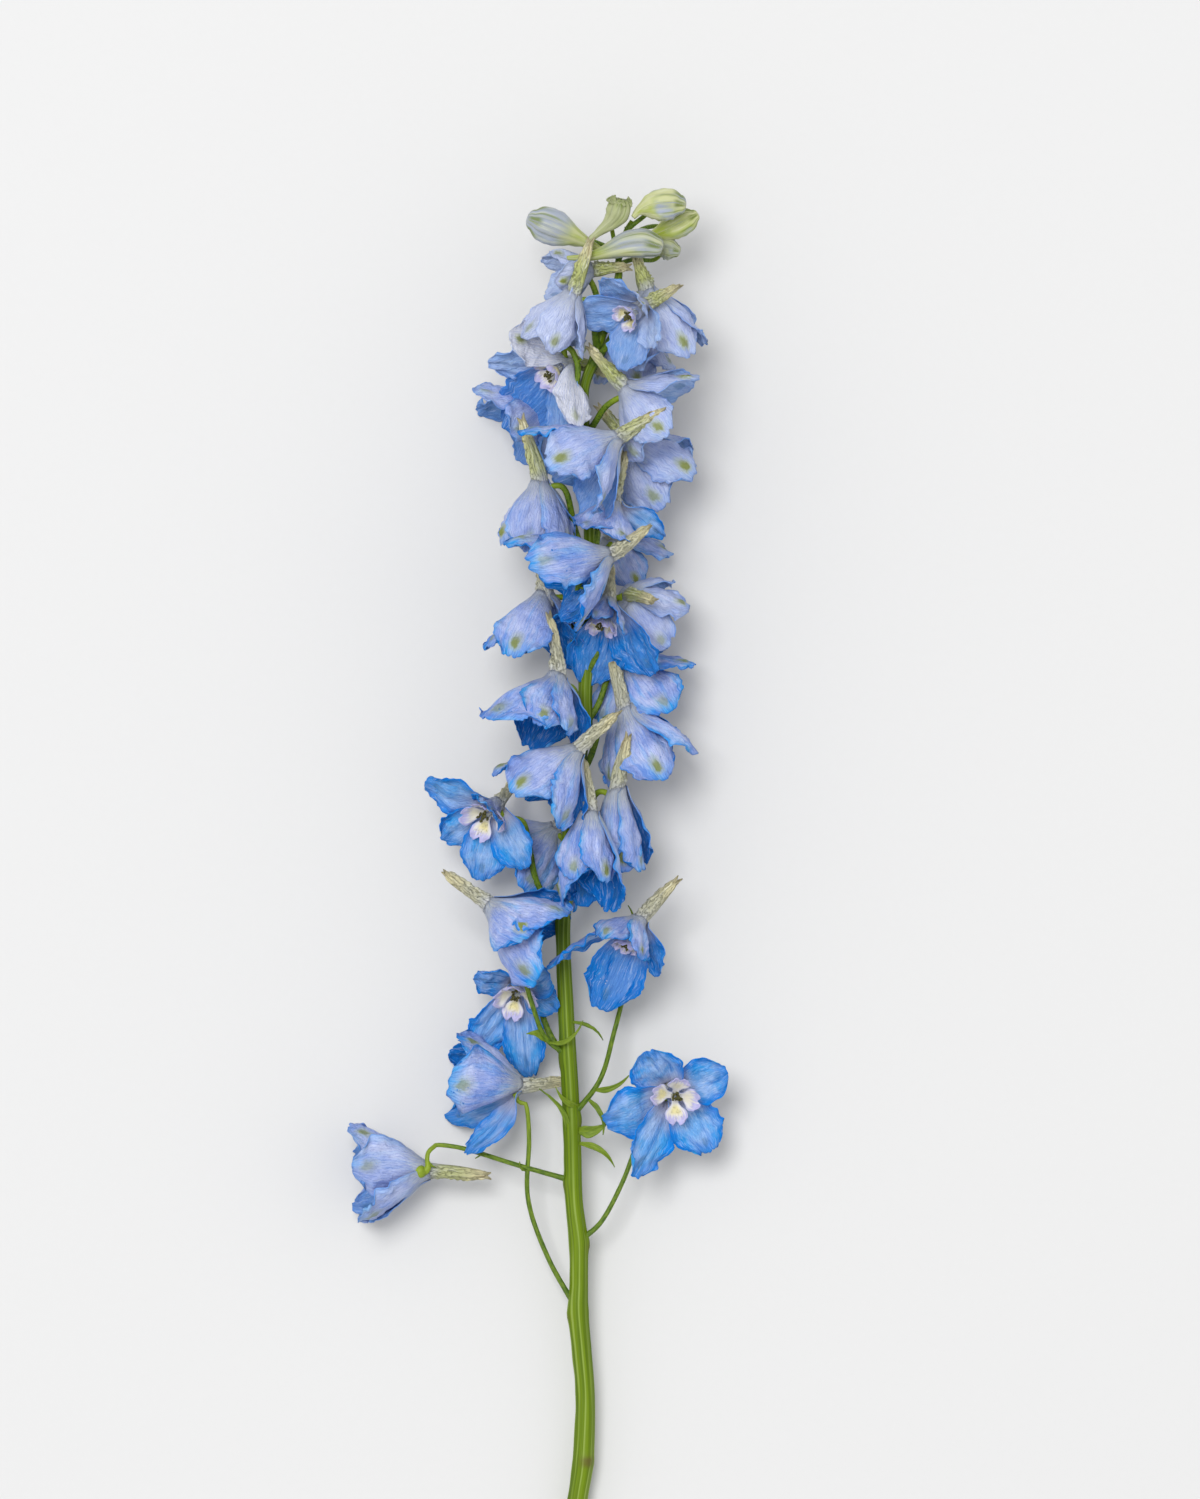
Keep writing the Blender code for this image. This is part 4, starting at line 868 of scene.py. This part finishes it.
# The stem. line: x, y, radius from the cut to the tip; knots: swellings, as y, angle round the stem and
# size; scars: leaf scars the same way; rootScar: how brown a side stalk's root is; cut: the cut face's rings
# from rim to middle, as share of the radius, depth in mm and brownness
stemForm = dict(
    rings=300, sides=44,
    line=((8.6, -237.3, 3.4), (11.0, -214.5, 3.35), (13.7, -194.4, 3.3), (15.5, -181.5, 3.45), (16.2, -161.7, 3.15),
          (15.0, -145.2, 3.2), (13.9, -132.7, 3.3), (14.1, -122.1, 3.0), (13.9, -108.9, 3.1), (12.5, -95.7, 2.85),
          (12.0, -79.2, 2.9), (11.4, -62.7, 2.85), (10.5, -46.2, 2.75), (9.7, -29.7, 2.6), (8.9, -8.3, 2.4),
          (9.9, 8.6, 2.35), (10.9, 24.1, 2.5), (13.9, 46.2, 2.2), (16.3, 62.7, 2.15), (16.2, 72.6, 2.3),
          (17.7, 102.3, 2.05), (17.5, 135.3, 2.0), (15.8, 158.4, 2.0), (15.5, 168.3, 1.9), (16.5, 174.9, 1.65),
          (19.1, 181.5, 1.65), (23.1, 194.7, 1.5), (27.1, 207.9, 1.3), (27.2, 213.8, 1.05), (29.4, 222.8, 0.9),
          (31.7, 227.0, 0.75)),
    knots=((-182.0, -1.1, 0.13), (6.8, 2.8, 0.12), (-132.6, 1.0, 0.12), (-109.5, 0.2, 0.14), (-89.5, 3.2, 0.14),
           (-68.6, 0.2, 0.13), (-49.0, 3.2, 0.12), (-4.0, 3.1, 0.13)),
    scars=((-182.0, -1.1, 0.95), (24.0, -1.2, 0.5)), rootScar=0.42,
    cut=((1.0, 0, 0.9), (0.97, 0.06, 0.7), (0.86, 0.22, 0.1), (0.66, 0.30, 0.05), (0.40, 0.42, 0.15),
         (0.16, 0.5, 0.3)))

# Bracts. Root x, y, depth, tip x, y, depth, half width
bracts = (
    (18.8, -59.2, 1.6, 30.4, -54.1, 4.0, 1.5), (14.4, -64.6, 1.0, 6.8, -57.8, 5.0, 1.4),
    (16.6, -62.0, 1.3, 21.5, -74.5, 4.0, 1.3), (13.6, -72.5, 0.8, 23.5, -70.5, 2.5, 3.0),
    (13.6, -77.0, 0.8, 25.5, -85.5, 3.0, 1.6), (10.2, -75.5, 0.8, 1.5, -58.8, 1.5, 1.3),
    (3.2, -43.0, 3.2, -3.0, -40.5, 4.5, 2.2), (4.0, -43.6, 3.0, 15.8, -37.0, 6.5, 1.1),
    (11.4, -37.0, 1.0, 21.8, -43.5, 2.0, 0.9), (31.4, -10.6, 4.6, 30.2, 1.6, 5.4, 0.8))

# Buds. line: x, y, depth, radius from the spur's tip to the nose; blue and grey: shares of those tints
buds = {
    "bud_1": dict(line=((21.0, 217.6, 3.0, 1.0), (16.4, 220.0, 2.6, 1.9), (12.0, 222.0, 2.2, 3.2),
                        (6.8, 224.4, 2.0, 4.8), (1.8, 226.4, 2.0, 4.7), (-1.0, 227.4, 2.0, 2.9)),
                  root=215.5, blue=0.95, grey=0.12, stout=1.2),
    "bud_2": dict(line=((16.6, 219.4, 8.0, 0.9), (20.8, 223.2, 7.6, 1.4), (24.6, 226.2, 7.0, 2.9),
                        (26.6, 228.8, 6.6, 4.2), (27.5, 231.4, 6.4, 4.2), (27.9, 233.2, 6.4, 3.3)),
                  root=216, blue=0.2, grey=0.7, stout=0.92, mouth=True),
    "bud_3": dict(line=((32.0, 228.0, 7.5, 0.8), (34.2, 230.2, 7.0, 1.7), (37.4, 231.4, 6.6, 4.0),
                        (41.4, 232.0, 6.4, 4.9), (45.2, 232.2, 6.2, 4.5), (47.6, 232.0, 6.2, 3.0)),
                  root=224, blue=0.55, grey=0.0),
    "bud_4": dict(line=((36.2, 221.4, -4.0, 0.8), (38.8, 222.4, -4.0, 1.6), (43.0, 224.0, -4.0, 3.5),
                        (47.0, 225.8, -4.0, 4.0), (50.6, 227.8, -4.0, 3.5), (52.4, 228.8, -4.0, 2.0)),
                  root=220, blue=0.35, grey=0.0),
    "bud_5": dict(line=((10.2, 214.6, 8.6, 0.8), (16.0, 214.8, 8.8, 1.3), (23.0, 216.6, 9.2, 2.3),
                        (29.6, 218.8, 9.4, 3.9), (35.2, 219.4, 9.2, 4.5), (39.8, 218.4, 9.2, 3.2)),
                  root=214.5, blue=0.75, grey=0.2),
    "bud_6": dict(line=((36.4, 216.8, -4.0, 0.7), (38.8, 217.6, -4.2, 1.5), (41.8, 218.2, -4.6, 3.2),
                        (44.2, 217.8, -4.8, 3.4), (46.4, 217.2, -4.8, 2.0)), root=212, blue=0.7, grey=0.45),
}


def stemAt(y):
    line = np.array(stemForm["line"])
    x = np.interp(y, line[:, 1], line[:, 0])
    return np.array((x, y, axisHeight(y)))


def stemSheets():
    line = [(x, y, axisHeight(y), r) for x, y, r in stemForm["line"]]
    path = smoothRoute(line, stemForm["rings"])
    places = path[:, 1]
    roots = [(row["root"], toPlace(*row["neck"])[0]) for row in florets.values()]

    def relief(turn, t):
        y = np.interp(t, np.linspace(0, 1, len(places)), places)
        ribs = 0.030 * np.cos(7 * turn + 1.3 * np.sin(5 * t)) + 0.018 * np.cos(11 * turn + 9 * t)
        rough = 0.022 * unevenness(turn * 0.8, t * 34, 41, 8) * np.sin(turn / 2) ** 2
        swell = 0.0
        for root, x in roots:
            facing = 0.0 if x > stemAt(root)[0] else math.pi
            lump = 0.13 * np.exp(-((y - root + 1.0) / 2.4) ** 2) * np.maximum(np.cos(turn - facing), 0) ** 2
            swell = swell + lump
        for knot, facing, size in stemForm["knots"]:
            swell = swell + size * np.exp(-((y - knot) / 2.2) ** 2) * np.maximum(np.cos(turn - facing), 0)
        return ribs + rough + np.minimum(swell, 0.2)

    grid = tubeGrid(path[:, :3], path[:, 3], stemForm["sides"], np.array((1.0, 0.0, 0.0)), relief)
    grid = aboveTable(grid, 0.02)
    count = stemForm["sides"]
    y = np.repeat(places, count)
    dye = np.zeros((len(y), 3))
    dye[:, 1] = np.clip(0.18 * ramp(y, -120, 60), 0, 1)
    turns = np.tile(2 * math.pi * np.arange(count) / count, len(places))
    marks = [(root - 1.8, 0.0 if x > stemAt(root)[0] else math.pi, stemForm["rootScar"]) for root, x in roots]
    for place, facing, strength in (*stemForm["scars"], *marks):
        spot = np.exp(-((y - place) / 1.5) ** 2) * np.maximum(np.cos(turns - facing), 0) ** 4
        dye[:, 0] = np.maximum(dye[:, 0], strength * spot)
    skin = tubeSheet(grid, dye, 0, capStart=False, uvLength=4.7)
    # the cut: a slightly hollow pale face with a brown rim
    ring = grid[0]
    middle = ring.mean(0)
    shares, depths, browns = np.array(stemForm["cut"]).T
    face = middle + shares[:, None, None] * (ring - middle)
    face[..., 1] += depths[:, None]
    face[..., 1] += 0.05 * unevenness(face[..., 0], face[..., 2], 4)
    faceDye = np.repeat([(brown, 0, 0) for brown in browns], count, 0)
    cut = tubeSheet(face[:, ::-1], faceDye, 0, capStart=False, uvLength=0.05)
    return [skin, cut]


# Side stalks. rings and budRings: rings along a floret's and a bud's; longRadius: of the lower, routed ones;
# lime and budLime: how lime green the upper end is; knob: how much a floret's stalk swells there
stalkForm = dict(sides=14, rings=46, budRings=30, budRadius=0.72, radius=0.98, longRadius=0.74, knob=0.55,
                 relief=0.05, lime=0.7, budLime=0.8, table=0.05)
knobForm = dict(rings=14, sides=16, least=0.35, swelling=1.95)
bractForm = dict(rows=22, columns=9, thickness=0.3, width=0.68, fold=0.42, lime=0.15, shade=0.15,
                 table=0.25)


def stalkPath(rootY, target, tail, route, count):
    root = stemAt(rootY)
    lead = np.array((target[0] - root[0], 0.0, target[2] - root[2]))
    lead = unit(lead) if np.linalg.norm(lead) > 1 else up
    if route:
        return smoothRoute([root] + [toPlace(*p) for p in route] + [target + 2.5 * tail, target], count)
    far = np.linalg.norm(target - root)
    climb = unit(0.75 * lead + np.array((0.0, 0.65, 0.0)))
    return bezier((root, root + 0.5 * far * climb, target + min(9.0, 0.45 * far) * tail, target), count)


def stalkSheets(path, radius, seed, lime, bracteoles=(), knob=stalkForm["knob"]):
    count, sides = len(path), stalkForm["sides"]
    t = np.linspace(0, 1, count)
    radii = radius * (1.12 - 0.14 * t + 0.75 * np.exp(-t / 0.05) + knob * ramp(t, 0.93, 1.0))

    def relief(turn, t):
        rough = stalkForm["relief"] * unevenness(turn * 0.8, t * 16, seed, 7) * np.sin(turn / 2) ** 2
        return stalkForm["relief"] * np.cos(5 * turn + seed) + rough

    dye = np.zeros((count * sides, 3))
    dye[:, 0] = np.repeat(lime * ramp(t, 0.6, 1.0), sides)
    dye[:, 1] = np.repeat(0.35 * ramp(t, 0.35, 0.0), sides)
    dye[:, 2] = seed * 0.21 % 1
    grid = aboveTable(tubeGrid(path, radii, sides, None, relief), stalkForm["table"])
    sheets = [tubeSheet(grid, dye, 1, uvLength=6.0)]
    for share, length, half, turnTo in bracteoles:
        at = path[int(share * (count - 1))]
        along = unit(path[min(int(share * (count - 1)) + 2, count - 1)] - at)
        outward = across(turnTo, along)
        tip = at + length * unit(0.8 * along + 0.75 * outward)
        sheets.append(bractSheet(at + 0.4 * radius * outward, tip, half, seed + int(100 * share)))
    return sheets


def knobSheet(foot, along, seed):
    # the lime green swelling where a stalk comes over the near side of a bell's neck
    rings, sides = knobForm["rings"], knobForm["sides"]
    path = bezier((foot - 1.0 * along, foot + 1.2 * along, foot + 4.2 * along), rings)
    t = np.linspace(0, 1, rings)
    radii = knobForm["least"] + knobForm["swelling"] * np.sin(math.pi * t) ** 0.8

    def relief(turn, t):
        return 0.05 * np.cos(5 * turn + seed) * np.sin(math.pi * t)

    dye = np.zeros((rings * sides, 3))
    dye[:, 0] = np.repeat(0.55 + 0.45 * ramp(t, 0.35, 0.9), sides)
    dye[:, 2] = seed * 0.21 % 1
    return tubeSheet(tubeGrid(path, radii, sides, None, relief), dye, 1, uvLength=0.6)


def bractSheet(start, tip, half, seed):
    # a narrow arched leaf, folded along its middle and a little twisted
    form = bractForm
    draw = random.Random(seed)
    reach = tip - start
    length = np.linalg.norm(reach)
    side = unit(np.cross(reach, up)) if abs(unit(reach)[2]) < 0.98 else np.array((1.0, 0.0, 0.0))
    lift = np.cross(side, unit(reach))
    S, V = np.meshgrid(np.linspace(0, 1, form["rows"]), np.linspace(-1, 1, form["columns"]), indexing="ij")
    width = form["width"] * half * np.maximum((0.5 + 0.7 * ramp(S, 0, 0.34)) * (1 - S**1.6) ** 0.8, 0.05)
    bend = 0.5 * length * (S - S**2) + 0.35 * np.sin(7 * S + draw.uniform(0, 6)) * ramp(S, 0.2, 0.8)
    sway = length * (draw.choice((-0.7, 0.7)) * (S - S**2) + 0.05 * np.sin(3 * S + draw.uniform(0, 6)) * S)
    twist = draw.uniform(-0.5, 0.5) * S
    acrossLeaf = np.cos(twist)[..., None] * side + np.sin(twist)[..., None] * lift
    fold = form["fold"] * width * np.abs(V) + 0.10 * unevenness(S * 3, V, seed) * np.abs(V)
    grid = start + S[..., None] * reach + (bend * 0.9 + fold)[..., None] * lift + sway[..., None] * side
    grid = aboveTable(grid + (width * V)[..., None] * acrossLeaf, form["table"])
    sheet = thinSheet(grid, np.stack((0.5 + 0.5 * V, S), -1), form["thickness"], 0.0, seed * 0.17 % 1, 1)
    sheet["dye"][:, 0] = form["lime"] + 0.2 * (seed % 3) / 2
    sheet["dye"][:, 1] = form["shade"]
    return sheet


# nose: the rounded end's rings, as step past the last place and share of the radius there
budForm = dict(rings=60, sides=44, stout=1.08, table=0.05, crease=0.17, ridge=0.05, rough=0.05, wrinkle=0.09,
               nose=((0.16, 0.95), (0.32, 0.84), (0.46, 0.66), (0.55, 0.42), (0.58, 0.18)), tips=6, tipWidth=2.1)


def budSheets(row, number):
    # a closed bud: five pressed sepals with creases between them, a thin wrinkled spur, a blunt nose
    line = [(*toPlace(x, y, d), r) for x, y, d, r in row["line"]]
    form, rings = budForm, budForm["rings"]
    path = smoothRoute(line, rings)
    path[:, 3] *= 1 + (row.get("stout", form["stout"]) - 1) * ramp(np.linspace(0, 1, rings), 0.25, 0.6)
    nose = unit(path[-1, :3] - path[-3, :3])
    cap = [(*(path[-1, :3] + nose * step * path[-1, 3]), share * path[-1, 3]) for step, share in form["nose"]]
    path = np.vstack((path, cap))
    mouth = row.get("mouth")
    if mouth:  # its sepals part a little at the nose
        path[-4:, :3] -= nose * np.array((0.0, 1.0, 2.0, 2.6))[:, None]

    def relief(turn, t):
        body = ramp(t, 0.30, 0.55)
        crease = -form["crease"] * (1 - np.abs(np.cos(2.5 * turn + 0.25 * number))) ** 4 * body
        ridge = form["ridge"] * np.cos(5 * turn + 0.5 * number) * body * (1 - ramp(t, 0.9, 1.0))
        small = form["rough"] * unevenness(turn * 1.1, t * 7, number + 60, 9) * np.sin(turn / 2) ** 2
        wrinkle = form["wrinkle"] * unevenness(turn, t * 5, number + 61, 8) * np.sin(turn / 2) ** 2 * (1 - body)
        return crease + ridge + small + wrinkle

    grid = aboveTable(tubeGrid(path[:, :3], path[:, 3], form["sides"], None, relief), form["table"])
    dye = (row["blue"], row["grey"], number * 0.29 % 1)
    sheets = [tubeSheet(grid, dye, 0)]
    for n in range(form["tips"] if mouth else 0):  # the torn tips of the sepals
        turn = n * 1.05 + 0.3
        edge = math.cos(turn) * across(up, nose) + math.sin(turn) * np.cross(nose, across(up, nose))
        start = path[rings - 5, :3] + 0.80 * path[rings - 5, 3] * edge
        tip = start + (2.2 + 0.5 * (n % 3)) * nose + 0.4 * (n % 2) * edge
        sheet = bractSheet(start, tip, form["tipWidth"], 90 + n)
        sheet.update(look=0, dye=np.tile(np.array(dye), (len(sheet["points"]), 1)))
        sheet["uv"][:, 1] = 0.7 + 0.28 * sheet["uv"][:, 1]
        sheets.append(sheet)
    return sheets


def buildFlorets():
    for name, row in florets.items():
        number = int(name[-2:])
        axes = floretAxes(row)
        width = neckWidth(row)
        sheets = spurSheets(row, axes, width, number)
        for k, sepal in enumerate(sepalPlan(row, number)):
            sheets.append(petalSheet(row, axes, width, number, k, *sepal))
        addPiece("blue_" + name, sheets, (looks["sepal"], looks["spur"]), [name])


def buildBees():
    for name, row in florets.items():
        number = int(name[-2:])
        neck, face, _, belly = floretAxes(row)
        size = row["size"] / 24 * (0.7 + 0.0064 * row["open"])
        seat = neck + beeForm["seat"] * face
        sheets = stamenSheets(seat, face, belly, size, number)
        for k in range(len(beeForm["petals"])):
            sheets += throatPetal(seat, face, belly, size, number, k, row["open"])
        order = (looks["bee"], looks["hair"], looks["filament"], looks["anther"])
        node = "bee_" + name[-2:]
        addPiece("pale_" + node, sheets, order, [node] if row.get("bee") else None)


def buildGreen():
    sheets = stemSheets()
    for name, row in florets.items():
        number = int(name[-2:])
        neck, face, _, belly = floretAxes(row)
        width = neckWidth(row)
        tail = unit(belly - 0.5 * face)
        target = neck - 1.2 * face + belly * (0.83 * width + 0.67)
        path = stalkPath(row["root"], target, tail, row.get("route"), stalkForm["rings"])
        path = np.vstack((path, target - 0.35 * tail, target - 0.75 * tail))
        if "hook" in row:  # this stalk comes over the near side of the neck and ends in a swelling
            path = smoothRoute([stemAt(row["root"])] + [toPlace(*p) for p in row["route"] + row["hook"]], 60)
            sheets.append(knobSheet(path[-1], face, number))
            sheets.append(bractSheet(path[-6], path[-6] + np.array((3.0, -2.9, -0.4)), 0.6, number))
        draw = random.Random(number)
        turnTo = np.array((draw.choice((-1, 1)), draw.uniform(-0.4, 0.4), draw.uniform(0.2, 1)))
        leaves = ((draw.uniform(0.45, 0.7), draw.uniform(4, 7), 0.55, turnTo),) if row.get("route") else ()
        longStalk = row.get("route") and row["root"] < -4
        radius = stalkForm["longRadius"] if longStalk else stalkForm["radius"]
        sheets += stalkSheets(path, radius, number, stalkForm["lime"], leaves, row.get("knob", stalkForm["knob"]))
    for name, row in buds.items():
        number = int(name[-1])
        x, y, depth, radius = row["line"][2]
        body = toPlace(x, y, depth)
        along = unit(toPlace(*row["line"][3][:3]) - toPlace(*row["line"][1][:3]))
        root = stemAt(row["root"])
        belly = across(unit(root - body) + np.array((0.0, 0.0, -0.6)), along)
        tail = unit(belly - 0.3 * along)
        target = body - 0.8 * along + belly * (radius + 0.42)
        path = stalkPath(row["root"], target, tail, None, stalkForm["budRings"])
        path = np.vstack((path, target - 0.4 * tail, target - 0.8 * tail))
        sheets += stalkSheets(path, stalkForm["budRadius"], 50 + number, stalkForm["budLime"])
    for number, (x, y, depth, tipX, tipY, tipDepth, half) in enumerate(bracts):
        sheets.append(bractSheet(toPlace(x, y, depth), toPlace(tipX, tipY, tipDepth), half, 70 + number))
    addPiece("green_stem", sheets, (looks["stem"], looks["stalk"]), ["stem"])


def buildBuds():
    for name, row in buds.items():
        addPiece("young_" + name, budSheets(row, int(name[-1])), (looks["bud"],), [name])


buildGreen()
print("stage 3: stem, stalks and bracts made")
buildFlorets()
buildBees()
print("stage 4: florets made")
buildBuds()
print("stage 5: buds made")


# The pale table, soft daylight from the upper left, and the camera straight above
studio = dict(
    table=(0.640, 0.640, 0.640), tableSize=12.0, fill=0.78, key=197.0, keyPlace=(-1.0, 1.3, 5.2), keySize=2.4,
    keyAim=(0.02, 0.05, 0.0), grain=400.0, cameraPlace=(0.02095, 0.05317), cameraHeight=8.0,
    frameHeight=0.4947, midHeight=0.02)


def makeTable():
    half = studio["tableSize"] / 2
    mesh = bpy.data.meshes.new("table")
    mesh.from_pydata([(-half, -half, 0), (half, -half, 0), (half, half, 0), (-half, half, 0)], [], [(0, 1, 2, 3)])
    w = Wiring("table paper")
    grain = w.noise(w.node("ShaderNodeTexCoord")[3], studio["grain"], 3.0)  # 3: the place on the object
    colour = w.mix(grain, studio["table"], tuple(0.985 * c for c in studio["table"]))
    mesh.materials.append(w.finish(colour, 0.9, grain, 0.05, 0.0001))
    table = bpy.data.objects.new("table", mesh)
    table.location.z = -0.0001
    bpy.context.scene.collection.objects.link(table)


def makeLight():
    scene = bpy.context.scene
    world = bpy.data.worlds.new("soft daylight")
    scene.world = world
    world.use_nodes = True
    world.node_tree.nodes["Background"].inputs["Color"].default_value = (1.0, 1.0, 1.0, 1)
    world.node_tree.nodes["Background"].inputs["Strength"].default_value = studio["fill"]
    lamp = bpy.data.lights.new("window", "AREA")
    lamp.shape = "DISK"
    lamp.size = studio["keySize"]
    lamp.energy = studio["key"]
    light = bpy.data.objects.new("window", lamp)
    light.location = studio["keyPlace"]
    aim = np.array(studio["keyAim"]) - np.array(studio["keyPlace"])
    light.rotation_euler = Vector(tuple(aim)).to_track_quat("-Z", "Y").to_euler()
    scene.collection.objects.link(light)


def makeCamera():
    scene = bpy.context.scene
    scene.view_settings.view_transform = "Standard"
    lens = bpy.data.cameras.new("above")
    lens.sensor_width = 36
    lens.sensor_fit = "AUTO"
    lens.lens = 36 * (studio["cameraHeight"] - studio["midHeight"]) / studio["frameHeight"]
    lens.clip_end = 60
    camera = bpy.data.objects.new("above", lens)
    camera.location = (*studio["cameraPlace"], studio["cameraHeight"])
    scene.collection.objects.link(camera)
    scene.camera = camera


makeTable()
makeLight()
makeCamera()
print("stage 6: table, light and camera set")
